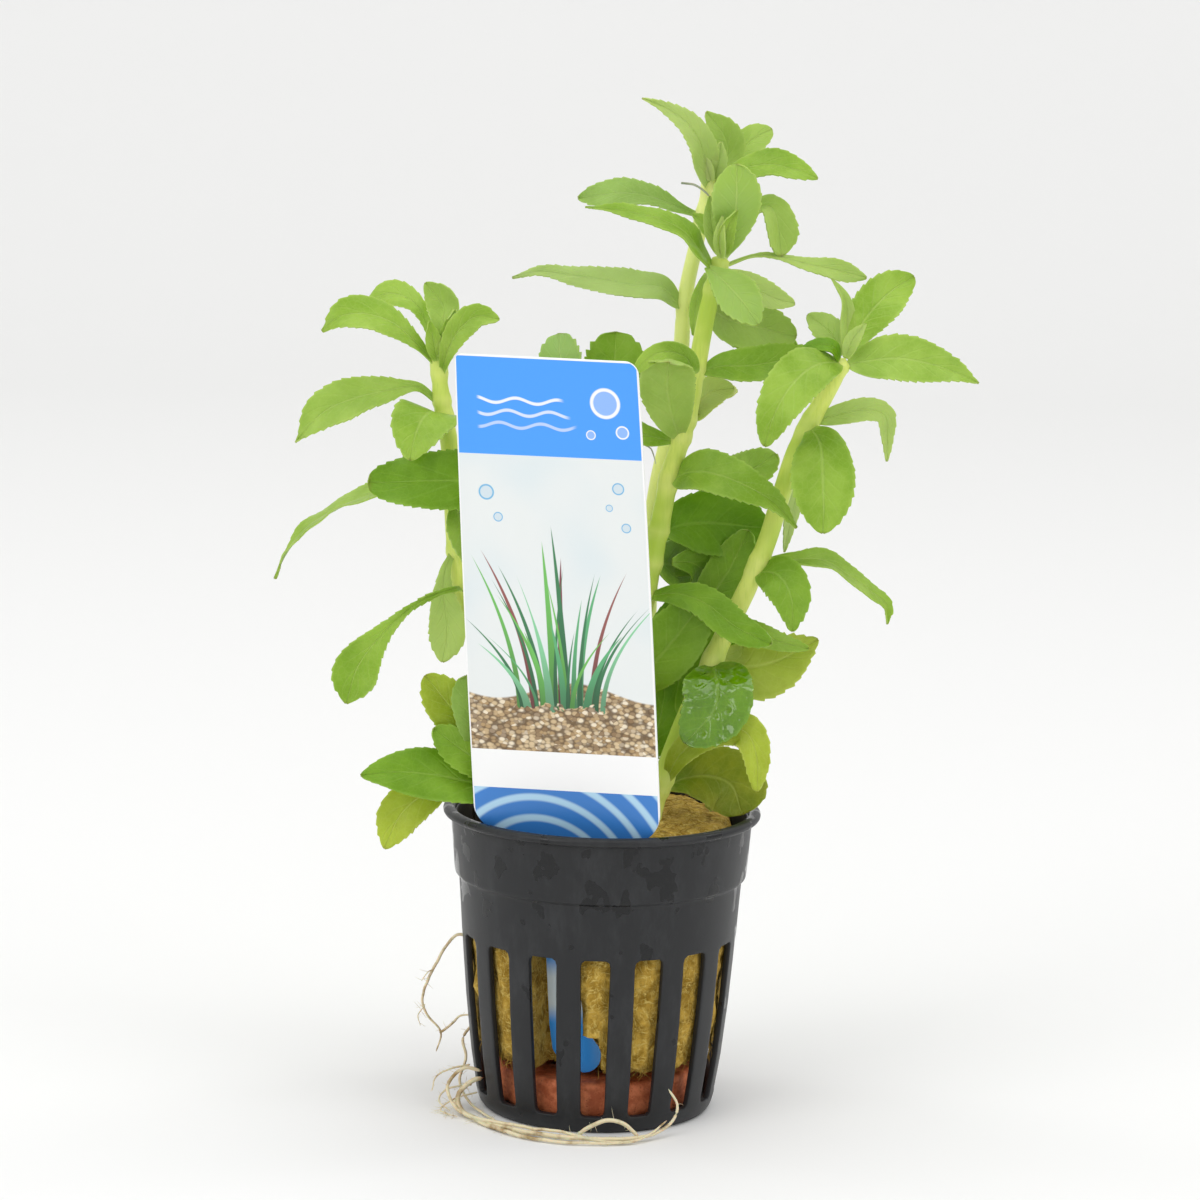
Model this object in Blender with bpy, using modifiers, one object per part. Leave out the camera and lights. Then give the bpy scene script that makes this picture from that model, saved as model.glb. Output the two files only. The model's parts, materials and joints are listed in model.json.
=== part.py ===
"""Potted rice paddy herb: five leafy stems in a small black net pot, with its plant label.

Run it with: blender --background --python part.py

The scene is in metres with +Z up. The sizes and tables below are in millimetres, and MM scales
them. The origin is the middle of the pot's underside, and the front of the plant faces -Y.
"""
import math
from dataclasses import dataclass

import bmesh
import bpy
import numpy as np
from mathutils import Matrix, Vector

MM = 0.001
OBJECT_NAME = "potted_rice_paddy_herb"
GAP = 0.35

# Net pot: a turned cup, whose wall is drawn as (radius, z) up the inside and down the outside
POT_HEIGHT = 51.0
RIM_RADIUS = 26.5
MOUTH_RADIUS = 24.4
LIP_ROUND = 0.5
LIP_DEPTH = 1.3
COLLAR_RADIUS = 25.2
COLLAR_TOP = 49.4
COLLAR_FOOT = 39.7
BASE_RADIUS = 18.6
FLOOR_TOP = 1.3
WALL_INSIDE = ((17.6, FLOOR_TOP), (19.1, 3.0), (20.2, 9.5), (21.2, 18.7), (21.8, 26.0), (22.8, COLLAR_FOOT))
WALL_OUTSIDE = ((24.3, COLLAR_FOOT), (23.7, COLLAR_FOOT - 0.5), (22.7, 26.0), (22.1, 18.7), (21.1, 9.5),
                (20.1, 3.0), (19.5, 0.8))
POT_STEPS = 32
MERGE_M = 0.00001
SLOT_COUNT = 16
SLOT_TURN = math.radians(-1.0)
SLOT_TOP = 30.0
SLOT_FOOT = 2.9
SLOT_TOP_WIDTH = 5.0
SLOT_FOOT_WIDTH = 4.0
SLOT_REACH = (14.5, 30.0)
FLOOR_SLOT_COUNT = 8
FLOOR_SLOT_WIDTH = 2.6
FLOOR_SLOT_REACH = (7.0, 15.0)

# Rock wool plug and the clay ring under it
PLUG_TOP = 50.0
PLUG_FOOT = 10.0
PLUG_RADIUS = 20.4
PLUG_EDGE = 1.0
PLUG_SIDE = ((20.3, 31.0), (19.3, 16.0), (18.3, PLUG_FOOT + 1.5), (17.2, PLUG_FOOT))
PLUG_STEPS = 24
SOCKET_FLOOR = 44.2
SOCKET_SIDES = 12
STEM_FOOT = 44.6
RING_RADIUS = 17.0
RING_BORE = 8.0
RING_FOOT = 1.7
RING_TOP = 7.8
RING_EDGE = 0.6

# Plant label: a thin plate with a stake, leaning out over the rim
LABEL_ORIGIN = (-5.1, -18.5, 50.0)
LABEL_YAW = math.radians(-15.7)
LABEL_LEAN = math.radians(8.3)
LABEL_ROLL = math.radians(1.5)
LABEL_WIDTH = 30.7
LABEL_TOP = 79.5
LABEL_FOOT = -1.0
LABEL_THICKNESS = 0.5
LABEL_TOP_CORNER = 2.6
LABEL_FOOT_CORNER = 5.5
STAKE_LEFT = -5.0
STAKE_RIGHT = 1.4
STAKE_SHOULDER = 0.8
BARB_TOP = -33.5
BARB_REACH = 3.7
BARB_HEEL = ((0.2, -36.0), 5.2, 200, 262)
BARB_TOE = ((0.3, -38.4), 3.4, 270, 385)
STAKE_TIP = -41.8
# The room that the label takes from the plug, as boxes (left, right, low, high) in the label's frame
CHANNEL_REACH = 14.0
LABEL_CHANNELS = (
    (STAKE_LEFT - GAP, STAKE_RIGHT + GAP, BARB_TOP - 3.0, LABEL_FOOT + 2.0),
    (STAKE_LEFT - GAP, BARB_REACH + GAP, STAKE_TIP - 5.0, BARB_TOP + 0.4),
    (-LABEL_WIDTH / 2 - 6.0, LABEL_WIDTH / 2 + 6.0, LABEL_FOOT - 1.3, LABEL_FOOT + 9.0),
)

# Stems, leaves and roots are drawn in a front view: x and z on the plane y = 0, seen from this eye
# point, and y is the depth, so that a change of depth leaves the front view as it is.
EYE_DISTANCE = 650.0
EYE_HEIGHT = 190.0

STEM_POINTS = 11
STEM_SIDES = 8
ROOT_SIDES = 6
ROOT_POINTS = 19
CURVE_STEPS = 12
LEAF_THICKNESS = 0.5
LEAF_GAP = 0.45
LEAF_SPRING = 0.3
LEAF_ROWS = 8
LEAF_COLUMNS = 2
STALK_HALF = 0.55
TIP_HALF = 0.22

COLOURS = {
    "pot": ((0.045, 0.046, 0.050), 0.55),
    "wool": ((0.42, 0.29, 0.07), 0.95),
    "clay": ((0.26, 0.07, 0.028), 0.85),
    "label": ((0.10, 0.38, 0.85), 0.30),
    "stem": ((0.50, 0.58, 0.16), 0.45),
    "fresh": ((0.20, 0.42, 0.05), 0.45),
    "deep": ((0.08, 0.22, 0.02), 0.40),
    "pale": ((0.24, 0.44, 0.13), 0.50),
    "yellowed": ((0.40, 0.48, 0.07), 0.50),
    "root": ((0.72, 0.66, 0.48), 0.60),
}


@dataclass(frozen=True)
class Stem:
    """A stem, drawn from its top to where it reaches the plug, and the socket that it stands in."""

    name: str
    view: tuple
    socket: tuple
    top_radius: float
    foot_radius: float


@dataclass(frozen=True)
class Leaf:
    """A leaf blade: the midrib's front view (x, z, y) from the stem to the tip, and its form.

    face is the way the upper side looks, and face_tip that way at the tip. half is the largest half
    width, widest the part of the length where it lies, and taper is high for a drawn out outline.
    fold is the rise of the two halves from the midrib in degrees.
    """

    name: str
    stem: str
    view: tuple
    half: float
    face: tuple = (0.0, -1.0, 0.3)
    face_tip: tuple = None
    widest: float = 0.5
    taper: float = 0.9
    fold: float = 12.0
    colour: str = "fresh"


@dataclass(frozen=True)
class Root:
    """A root: its points (x, y, z) in real places, and its radius."""

    name: str
    points: tuple
    radius: float


STEMS = (
    Stem("stem_left", ((-28.8, 127.3, -8), (-28.2, 119.6, -8), (-26.5, 110.0, -8), (-24.8, 91.0, -8),
         (-23.0, 85.0, -7.5), (-18.5, 68.0, -6), (-15.2, 56.0, -5)), (-14.5, -5.0), 1.25, 2.1),
    Stem("stem_back", ((15.3, 156.8, 8), (14.5, 151.0, 8), (12.2, 141.5, 8), (11.4, 134.8, 8),
         (11.0, 126.0, 8.5), (10.1, 117.0, 9), (7.2, 100.0, 10), (6.6, 78.0, 11)), (7.2, 11.0), 1.1, 1.8),
    Stem("stem_centre", ((17.4, 143.4, -1), (15.6, 136.0, -1), (14.0, 127.0, -1), (13.2, 119.0, -1),
         (10.5, 110.0, -1), (8.0, 96.3, -1), (3.8, 73.0, -0.5)), (-0.5, 0.0), 1.4, 2.1),
    Stem("stem_right", ((38.0, 126.9, -4), (36.2, 123.5, -4), (33.3, 117.2, -4), (29.8, 110.0, -4),
         (27.3, 100.0, -4), (24.8, 92.5, -4), (21.9, 85.5, -4.5), (18.5, 78.0, -5), (15.0, 69.5, -6),
         (12.1, 62.0, -7)), (8.2, -7.5), 1.45, 2.0),
    Stem("stem_short", ((-3.0, 115.0, 3), (-3.2, 100.0, 3.5), (-4.0, 75.0, 5.5)), (-5.6, 7.5), 1.2, 1.9),
)

LEAVES = (
    # Left stem, from the tip down
    Leaf("leaf_left_tip_long", "stem_left", ((-29.2, 124.6, -9), (-32.8, 128.7, -10), (-36.5, 131.0, -11),
         (-41.0, 131.9, -12), (-45.0, 131.6, -13), (-48.0, 129.4, -13)),
         3.4, (0, -0.7, 0.7), widest=0.55),
    Leaf("leaf_left_tip_arched", "stem_left", ((-29.4, 125.4, -7), (-31.0, 131.0, -2), (-33.2, 134.3, 0),
         (-36.6, 136.1, 2), (-40.2, 135.4, 4)),
         2.2, (-0.5, -0.8, 0.5), (0, -0.8, 0.6), widest=0.7, taper=0.8),
    Leaf("leaf_left_tip_upright", "stem_left", ((-28.4, 126.0, -9.5), (-27.9, 130.5, -7.5),
         (-28.3, 134.0, -6), (-30.7, 137.1, -5)),
         2.3, (0, -1, 0.2), widest=0.55, taper=0.8, colour="pale"),
    Leaf("leaf_left_tip_right", "stem_left", ((-28.4, 122.4, -9.5), (-27.0, 127.0, -11.4),
         (-25.0, 130.7, -12), (-22.2, 132.7, -12), (-18.7, 132.4, -12)),
         2.1, (0, -1, 0.4), widest=0.62, taper=0.7, fold=14),
    Leaf("leaf_left_upper_long", "stem_left", ((-29.2, 118.2, -8), (-31.8, 120.6, -9), (-36.0, 120.3, -9.5),
         (-42.0, 118.6, -10), (-47.5, 115.6, -11), (-51.9, 110.6, -12)),
         3.9, (0, -0.8, 0.6), widest=0.62, taper=1.15),
    Leaf("leaf_left_upper_front", "stem_left", ((-28.0, 116.4, -9.5), (-30.8, 116.2, -13.5),
         (-32.1, 113.8, -17), (-32.9, 108.2, -19)),
         4.9, (0, -0.5, 0.85), (0, -0.9, 0.4), widest=0.42, taper=0.75, fold=6),
    Leaf("leaf_left_middle_slender", "stem_left", ((-26.6, 104.4, -8), (-32.0, 104.3, -6),
         (-38.0, 102.7, -4), (-44.5, 100.3, -2), (-50.0, 96.8, 0), (-53.2, 92.3, 1), (-55.0, 87.9, 2)),
         3.2, (0, -0.22, 1), (-0.5, -0.3, 0.9), widest=0.45, taper=1.3),
    Leaf("leaf_left_low_long", "stem_left", ((-23.9, 87.0, -8.5), (-25.2, 86.9, -13.2),
         (-28.5, 85.9, -14.6), (-33.0, 83.2, -15), (-37.6, 78.6, -15.5), (-40.9, 73.5, -16),
         (-43.2, 67.4, -17)),
         3.4, (0.2, -0.9, 0.5), widest=0.74, taper=0.85, fold=10),
    Leaf("leaf_left_low_hanging", "stem_left", ((-25.2, 93.6, -8.2), (-26.9, 90.0, -10.6),
         (-27.1, 86.0, -11), (-26.4, 80.0, -11.4), (-27.1, 74.6, -12)),
         3.0, (0.1, -1, 0.2), widest=0.72, taper=0.8, fold=8, colour="yellowed"),
    Leaf("leaf_left_foot_folded", "stem_left", ((-16.5, 60.0, -6.5), (-21.5, 62.0, -10.5),
         (-25.8, 66.8, -11.5), (-29.0, 72.2, -12)),
         4.5, (0.2, -1, 0), widest=0.64, taper=0.6, colour="yellowed"),
    Leaf("leaf_left_foot_long", "stem_left", ((-15.2, 54.6, -6), (-21.0, 54.3, -11.5), (-28.0, 55.6, -13),
         (-34.5, 55.5, -13.5), (-40.4, 54.9, -14)),
         3.7, (0, -0.9, 0.5), widest=0.56, taper=0.75, fold=10, colour="deep"),
    Leaf("leaf_left_foot_yellow", "stem_left", ((-15.6, 57.0, -5), (-22.5, 57.2, -6), (-28.5, 53.2, -9),
         (-33.0, 49.0, -10), (-36.3, 42.8, -10.5)),
         3.3, (0, -0.9, 0.5), widest=0.68, taper=0.85, fold=10, colour="yellowed"),
    # Short stem behind the label
    Leaf("leaf_short_tip_left", "stem_short", ((-3.2, 114.0, 2.2), (-6.2, 120.0, 1), (-8.6, 125.5, 1),
         (-9.1, 129.8, 3)),
         3.5, (0.2, 1, 0.1), widest=0.66, taper=0.6, fold=-8, colour="pale"),
    Leaf("leaf_short_tip_right", "stem_short", ((-2.6, 114.4, 2.6), (-0.8, 119.5, 5), (0.2, 125.0, 6),
         (0.3, 130.3, 6)),
         5.0, (0, -1, 0.2), widest=0.62, taper=0.62, fold=14, colour="deep"),
    Leaf("leaf_short_broad", "stem_short", ((-3.2, 101.0, 3), (-11.0, 104.0, -6), (-19.0, 105.2, -12.5),
         (-28.0, 104.9, -15), (-39.9, 104.3, -15)),
         4.8, (0.1, -0.95, 0.3), widest=0.66, taper=0.42, fold=8, colour="deep"),
    # Back stem
    Leaf("leaf_back_tip_long", "stem_back", ((14.6, 154.2, 7), (13.2, 158.4, 3.5), (11.2, 162.0, 1),
         (8.2, 164.9, -1), (3.4, 167.9, -3)),
         2.1, (0.3, -1, 0.3), widest=0.36, taper=1.1, fold=14),
    Leaf("leaf_back_tip_upright", "stem_back", ((15.8, 155.0, 8.5), (17.8, 158.4, 10), (17.4, 161.8, 10),
         (14.3, 165.7, 9)),
         3.0, (-0.1, -1, 0.2), widest=0.58, taper=0.9),
    Leaf("leaf_back_tip_right", "stem_back", ((15.6, 154.2, 7), (20.0, 157.5, 4), (24.5, 158.0, 2.5),
         (28.5, 157.1, 1.5), (32.4, 156.1, 1)),
         2.3, (0, -0.8, 0.6), widest=0.62, taper=0.85, fold=14),
    Leaf("leaf_back_tip_far", "stem_back", ((15.6, 154.0, 9.5), (18.4, 158.4, 14), (21.4, 161.6, 16),
         (24.7, 163.2, 18)),
         2.4, (0, -1, 0.3), widest=0.72, taper=0.6),
    Leaf("leaf_back_upper_left", "stem_back", ((14.2, 149.5, 7), (10.5, 150.6, 6), (6.5, 152.0, 6),
         (1.5, 152.8, 7), (-2.5, 152.6, 8), (-6.4, 151.9, 9)),
         2.9, (0, -0.75, 0.65), widest=0.68, taper=0.8),
    Leaf("leaf_back_upper_back", "stem_back", ((14.6, 149.0, 9.5), (18.0, 151.5, 15), (20.0, 152.0, 21),
         (20.5, 150.0, 27)),
         3.4, (0.1, 0.2, 1), fold=14, colour="deep"),
    Leaf("leaf_back_middle_left", "stem_back", ((11.2, 134.6, 7), (7.5, 137.7, 5), (2.5, 137.9, 5),
         (-3.0, 138.7, 6), (-8.5, 139.5, 7), (-12.8, 139.9, 8), (-16.9, 138.8, 9)),
         2.6, (0, -0.75, 0.65), widest=0.36, taper=1.0),
    # Centre stem
    Leaf("leaf_centre_tip_round", "stem_centre", ((17.8, 142.6, -2), (19.2, 148.0, -4), (19.6, 152.7, -5),
         (19.2, 157.5, -5)),
         3.9, (0, 1, 0.2), widest=0.66, taper=0.55, fold=-8, colour="pale"),
    Leaf("leaf_centre_tip_arched", "stem_centre", ((18.4, 141.8, 0.5), (21.0, 147.2, 4), (23.4, 150.4, 4),
         (26.6, 149.2, 3), (26.8, 143.8, 2)),
         2.5, (-0.5, 0.6, 0.6), (0.3, -1, 0.1), widest=0.7, taper=0.7, fold=10),
    Leaf("leaf_centre_upper_left", "stem_centre", ((16.6, 140.4, -2.4), (13.2, 144.3, -4),
         (10.4, 147.3, -5), (6.5, 149.0, -5.5), (1.5, 150.1, -5.5), (-5.2, 150.4, -5.5)),
         2.0, (0.4, -0.55, 0.8), widest=0.42, taper=1.0, fold=14, colour="deep"),
    Leaf("leaf_centre_upper_right", "stem_centre", ((17.6, 141.4, 0), (22.0, 142.5, 1), (26.5, 142.8, 2),
         (31.0, 141.9, 3), (35.5, 141.3, 4), (40.9, 140.2, 5)),
         1.9, (0, -0.2, 1), (0, -1, 0.3), widest=0.72, taper=0.8, fold=10),
    Leaf("leaf_centre_upper_hanging", "stem_centre", ((16.3, 138.0, 1), (19.0, 134.0, 5), (23.0, 131.0, 8),
         (30.0, 128.6, 10)),
         4.2, (0, -1, 0.3), widest=0.45, taper=0.8, fold=8, colour="deep"),
    Leaf("leaf_centre_middle_right", "stem_centre", ((14.2, 124.0, -1.5), (18.0, 125.0, -2),
         (23.0, 125.2, -2), (27.5, 126.2, -2), (31.2, 127.7, -2)),
         3.1, (0, -0.9, 0.5), widest=0.48, taper=0.9, colour="deep"),
    Leaf("leaf_centre_middle_curled", "stem_centre", ((10.8, 112.6, -2.6), (9.6, 118.0, -5),
         (9.0, 122.5, -6.5), (9.0, 126.0, -8), (9.2, 127.6, -10.5), (9.3, 126.6, -13), (9.3, 124.8, -14.5)),
         4.2, (0, -1, 0.1), (0, 0.3, -1), widest=0.68, taper=0.5, fold=6),
    Leaf("leaf_centre_middle_back", "stem_centre", ((13.4, 116.0, 0.5), (15.2, 118.8, 5), (17.2, 120.3, 11),
         (19.2, 121.0, 18)),
         3.3, (-0.2, -0.2, 1), widest=0.55, taper=0.8, colour="yellowed"),
    Leaf("leaf_centre_middle_arching", "stem_centre", ((10.6, 106.0, -2.5), (13.5, 107.6, -5),
         (17.5, 107.4, -7.5), (22.0, 105.7, -9), (27.0, 103.0, -10), (30.6, 100.9, -10.5)),
         3.2, (0, -0.8, 0.6), widest=0.36, taper=1.0, fold=10),
    Leaf("leaf_centre_middle_far", "stem_centre", ((10.6, 105.4, 0.5), (17.0, 106.6, 5), (22.5, 107.6, 9),
         (27.4, 108.4, 12)),
         2.8, (0, -1, 0.3), widest=0.72, taper=0.55, fold=10),
    Leaf("leaf_centre_middle_broad", "stem_centre", ((8.6, 97.6, 0), (13.0, 98.6, 3), (18.0, 98.2, 5),
         (26.0, 97.2, 6)),
         5.4, (0, -1, 0.3), widest=0.5, taper=0.5, fold=8, colour="deep"),
    Leaf("leaf_centre_low_broad", "stem_centre", ((7.6, 92.4, 1), (12.0, 91.6, 6), (16.5, 90.0, 10),
         (21.5, 87.0, 12)),
         4.2, (0, -1, 0.3), widest=0.5, taper=0.5, fold=8, colour="deep"),
    Leaf("leaf_centre_low_long", "stem_centre", ((7.0, 86.6, -2.5), (12.0, 87.2, -6), (17.0, 85.2, -9.5),
         (22.0, 81.3, -11.5), (28.0, 79.1, -12), (34.8, 78.5, -12)),
         2.6, (0, -0.85, 0.55), widest=0.5, taper=0.8, fold=10),
    Leaf("leaf_centre_low_ascending", "stem_centre", ((4.2, 70.0, -3.5), (7.6, 75.4, -6), (12.0, 80.8, -7),
         (15.8, 86.2, -7)),
         3.8, (-0.1, -1, 0.1), widest=0.55, taper=0.7, fold=8, colour="deep"),
    Leaf("leaf_centre_foot_dark", "stem_centre", ((1.6, 57.0, 0.5), (6.0, 60.0, 1), (9.0, 65.0, 0),
         (10.4, 74.5, 0)),
         3.4, (0.2, -1, 0.2), widest=0.6, taper=0.6, fold=8, colour="deep"),
    # Right stem
    Leaf("leaf_right_tip_upright", "stem_right", ((37.9, 126.6, -3), (39.8, 131.2, 0), (42.2, 134.9, 2),
         (45.3, 138.2, 4), (48.8, 140.5, 5)),
         3.7, (0, -1, 0.3), widest=0.62, taper=0.6, fold=10),
    Leaf("leaf_right_tip_long", "stem_right", ((38.2, 125.8, -4.5), (42.0, 126.5, -5), (47.0, 127.0, -6),
         (52.0, 126.3, -7), (56.5, 124.9, -8), (60.0, 123.2, -8.5)),
         3.8, (0, -0.9, 0.4), widest=0.42, taper=1.0, fold=10),
    Leaf("leaf_right_tip_broad", "stem_right", ((37.2, 126.0, -6), (33.2, 125.6, -10.5), (29.6, 122.4, -14),
         (26.8, 117.5, -16), (25.2, 112.0, -17)),
         4.0, (0, -0.8, 0.6), (0, -1, 0.2), widest=0.5, taper=0.65, fold=8),
    Leaf("leaf_right_upper_bent", "stem_right", ((34.0, 116.4, -4.5), (38.0, 117.7, -5),
         (42.0, 118.5, -5.5), (44.9, 117.6, -6), (45.4, 114.0, -6), (45.4, 110.0, -6)),
         1.7, (0, -0.9, 0.4), (0.3, -0.9, 0.1), widest=0.42, taper=0.8, fold=10),
    Leaf("leaf_right_upper_front", "stem_right", ((33.4, 115.2, -6), (34.4, 112.5, -9),
         (35.0, 107.0, -11.5), (35.3, 102.0, -13), (35.3, 97.8, -14)),
         5.1, (0, -1, 0.3), widest=0.56, taper=0.65, fold=8),
    Leaf("leaf_right_upper_back", "stem_right", ((33.0, 114.8, -2.5), (34.5, 112.0, 6), (35.5, 108.0, 13),
         (35.5, 103.5, 19)),
         3.8, (0.1, 0.4, 1), fold=12, colour="deep"),
    Leaf("leaf_right_middle_arching", "stem_right", ((25.2, 92.8, -3.5), (31.0, 93.2, -2), (35.8, 93.1, 0),
         (39.8, 91.0, 1), (43.6, 88.4, 2), (46.2, 86.0, 2), (46.3, 82.9, 2)),
         2.4, (0, -0.35, 1), (0.5, -0.5, 0.6), widest=0.5, taper=0.8, fold=10),
    Leaf("leaf_right_middle_hanging", "stem_right", ((25.0, 91.0, -5.5), (28.2, 90.6, -8.5),
         (30.4, 87.0, -10), (30.9, 81.2, -11)),
         3.6, (0, -0.8, 0.6), (0, -1, 0.2), widest=0.42, taper=0.75, fold=8),
    Leaf("leaf_right_low_yellow", "stem_right", ((18.6, 76.6, -5.5), (22.5, 74.2, -4), (27.5, 74.6, -3),
         (34.6, 78.4, -1)),
         4.0, (0, -1, 0.4), widest=0.5, taper=0.6, fold=8, colour="yellowed"),
    Leaf("leaf_right_low_glossy", "stem_right", ((17.6, 75.4, -7), (17.8, 72.0, -11), (17.0, 67.0, -14),
         (14.2, 61.5, -15)),
         5.9, (0, -1, 0.4), widest=0.52, taper=0.5, fold=6, colour="deep"),
    Leaf("leaf_right_foot_hanging", "stem_right", ((10.2, 55.2, -8), (13.4, 56.4, -10.5),
         (15.8, 60.0, -11.5), (19.5, 63.0, -12), (23.4, 62.6, -12.5), (25.1, 58.5, -13), (25.5, 53.8, -13)),
         2.8, (-0.2, -1, 0.5), (0.2, -1, 0.1), widest=0.68, taper=0.85, fold=10, colour="yellowed"),
    Leaf("leaf_right_foot_olive", "stem_right", ((10.0, 54.8, -6), (13.0, 55.3, -4), (17.0, 56.0, -3.5),
         (20.5, 55.2, -4), (23.6, 51.8, -5)),
         4.6, (0, -1, 0.5), widest=0.6, taper=0.5, fold=8, colour="deep"),
)

ROOTS = (
    Root("root_loop", ((-20.9, -0.4, 27.5), (-24.0, -0.6, 28.2), (-27.0, -1.0, 23.8), (-29.2, -1.2, 18.5),
         (-28.8, -1.2, 15.0), (-26.2, -1.0, 11.6), (-26.9, -1.4, 8.2)), 0.32),
    Root("root_foot", ((-18.6, -7.3, 5.6), (-20.6, -8.1, 5.2), (-22.8, -9.0, 3.0), (-22.0, -11.0, 0.9),
         (-19.6, -14.6, 0.75), (-15.8, -18.6, 0.75), (-10.5, -22.2, 0.8), (-4.0, -24.4, 0.8),
         (3.5, -24.6, 0.8), (9.0, -22.5, 0.9), (12.6, -19.3, 2.2), (13.6, -18.6, 5.0),
         (12.0, -19.0, 7.9)), 0.55),
)


def clear_scene():
    """Removes every object that the scene starts with."""
    for obj in list(bpy.data.objects):
        bpy.data.objects.remove(obj, do_unlink=True)


def make_collection(name):
    """Makes a collection in the scene and returns it."""
    collection = bpy.data.collections.new(name)
    bpy.context.scene.collection.children.link(collection)
    return collection


def make_material(name):
    """Makes a plain Principled material from the table of colours."""
    colour, roughness = COLOURS[name]
    material = bpy.data.materials.new(name)
    material.use_nodes = True
    shader = material.node_tree.nodes["Principled BSDF"]
    shader.inputs["Base Color"].default_value = (*colour, 1.0)
    shader.inputs["Roughness"].default_value = roughness
    shader.inputs["Metallic"].default_value = 0.0
    material.diffuse_color = (*colour, 1.0)
    return material


def add_object(name, data, collection, material=None):
    """Makes an object of this data in the collection."""
    obj = bpy.data.objects.new(name, data)
    collection.objects.link(obj)
    if material is not None:
        data.materials.append(material)
    return obj


def add_bmesh(name, bm, collection, material=None):
    """Makes an object of a bmesh given in millimetres."""
    bmesh.ops.scale(bm, verts=bm.verts, vec=(MM, MM, MM))
    mesh = bpy.data.meshes.new(name)
    bm.to_mesh(mesh)
    bm.free()
    return add_object(name, mesh, collection, material)


def mark_cutter(obj):
    """Keeps a cutter out of renders and shows it as wire."""
    obj.hide_render = True
    obj.display_type = "WIRE"
    return obj


def cut(target, cutter):
    """Cuts one object by another."""
    modifier = target.modifiers.new(cutter.name, "BOOLEAN")
    modifier.operation = "DIFFERENCE"
    modifier.solver = "EXACT"
    modifier.object = cutter


def turned(name, profile, steps, collection, material):
    """Turns a profile (radius, z) about Z; it runs from the inner axis end over to the outer side."""
    mesh = bpy.data.meshes.new(name)
    verts = [(radius * MM, 0.0, z * MM) for radius, z in profile]
    mesh.from_pydata(verts, [(i, i + 1) for i in range(len(verts) - 1)], [])
    obj = add_object(name, mesh, collection, material)
    screw = obj.modifiers.new("turn", "SCREW")
    screw.steps = steps
    screw.render_steps = steps
    screw.use_merge_vertices = True
    screw.merge_threshold = MERGE_M
    return obj


def from_view(x, z, y):
    """The place at depth y that covers the point (x, z) of the front view."""
    scale = (EYE_DISTANCE + y) / EYE_DISTANCE
    return Vector((x * scale, y, EYE_HEIGHT + (z - EYE_HEIGHT) * scale))


def smooth_path(points, count):
    """Returns count evenly spaced points on a smooth curve through the points."""
    given = np.array([tuple(p) for p in points], dtype=float)
    ends = np.vstack([2 * given[0] - given[1], given, 2 * given[-1] - given[-2]])
    fine = []
    for i in range(1, len(ends) - 2):
        p0, p1, p2, p3 = ends[i - 1:i + 3]
        for s in np.linspace(0.0, 1.0, CURVE_STEPS, endpoint=False):
            fine.append(0.5 * (2 * p1 + (p2 - p0) * s + (2 * p0 - 5 * p1 + 4 * p2 - p3) * s ** 2
                               + (3 * p1 - p0 - 3 * p2 + p3) * s ** 3))
    fine.append(given[-1])
    fine = np.array(fine)
    run = np.concatenate([[0.0], np.cumsum(np.linalg.norm(np.diff(fine, axis=0), axis=1))])
    wanted = np.linspace(0.0, run[-1], count)
    return [Vector([np.interp(w, run, fine[:, k]) for k in range(3)]) for w in wanted]


def add_tube(name, points, radii, sides, collection, material):
    """Makes a round tube through the points as a poly curve with filled caps."""
    curve = bpy.data.curves.new(name, "CURVE")
    curve.dimensions = "3D"
    curve.bevel_depth = MM
    curve.bevel_resolution = (sides - 4) // 2
    curve.use_fill_caps = True
    spline = curve.splines.new("POLY")
    spline.points.add(len(points) - 1)
    for point, place, radius in zip(spline.points, points, radii):
        point.co = (place.x * MM, place.y * MM, place.z * MM, 1.0)
        point.radius = radius
    return add_object(name, curve, collection, material)


def build_pot(parts, cutters, material):
    """The net pot: a turned tapered cup with a rolled lip, side slots and floor slots."""
    lip_foot = POT_HEIGHT - LIP_DEPTH
    lip = ((MOUTH_RADIUS, lip_foot), (MOUTH_RADIUS + LIP_ROUND, POT_HEIGHT),
           (RIM_RADIUS - LIP_ROUND, POT_HEIGHT), (RIM_RADIUS, POT_HEIGHT - LIP_ROUND),
           (RIM_RADIUS, lip_foot), (COLLAR_RADIUS, COLLAR_TOP))
    profile = ((0.0, FLOOR_TOP), *WALL_INSIDE, *lip, *WALL_OUTSIDE, (BASE_RADIUS, 0.0), (0.0, 0.0))
    pot = turned("net_pot", profile, POT_STEPS, parts, material)
    bm = bmesh.new()
    near, far = SLOT_REACH
    for index in range(SLOT_COUNT):
        turn = Matrix.Rotation(SLOT_TURN + 2 * math.pi * index / SLOT_COUNT, 4, "Z")
        made = bmesh.ops.create_cube(bm, size=1.0)["verts"]
        for vert in made:
            width, height = (SLOT_TOP_WIDTH, SLOT_TOP) if vert.co.z > 0 else (SLOT_FOOT_WIDTH, SLOT_FOOT)
            place = Vector((vert.co.x * width, -(far if vert.co.y < 0 else near), height))
            vert.co = turn @ place
    cut(pot, mark_cutter(add_bmesh("slot_cutter", bm, cutters)))
    bm = bmesh.new()
    near, far = FLOOR_SLOT_REACH
    for index in range(FLOOR_SLOT_COUNT):
        turn = Matrix.Rotation(2 * math.pi * (index + 0.5) / FLOOR_SLOT_COUNT, 4, "Z")
        made = bmesh.ops.create_cube(bm, size=1.0)["verts"]
        for vert in made:
            reach = far if vert.co.y > 0 else near
            place = Vector((vert.co.x * FLOOR_SLOT_WIDTH, reach, vert.co.z * 4 * FLOOR_TOP))
            vert.co = turn @ place
    cut(pot, mark_cutter(add_bmesh("floor_slot_cutter", bm, cutters)))
    return pot


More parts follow.
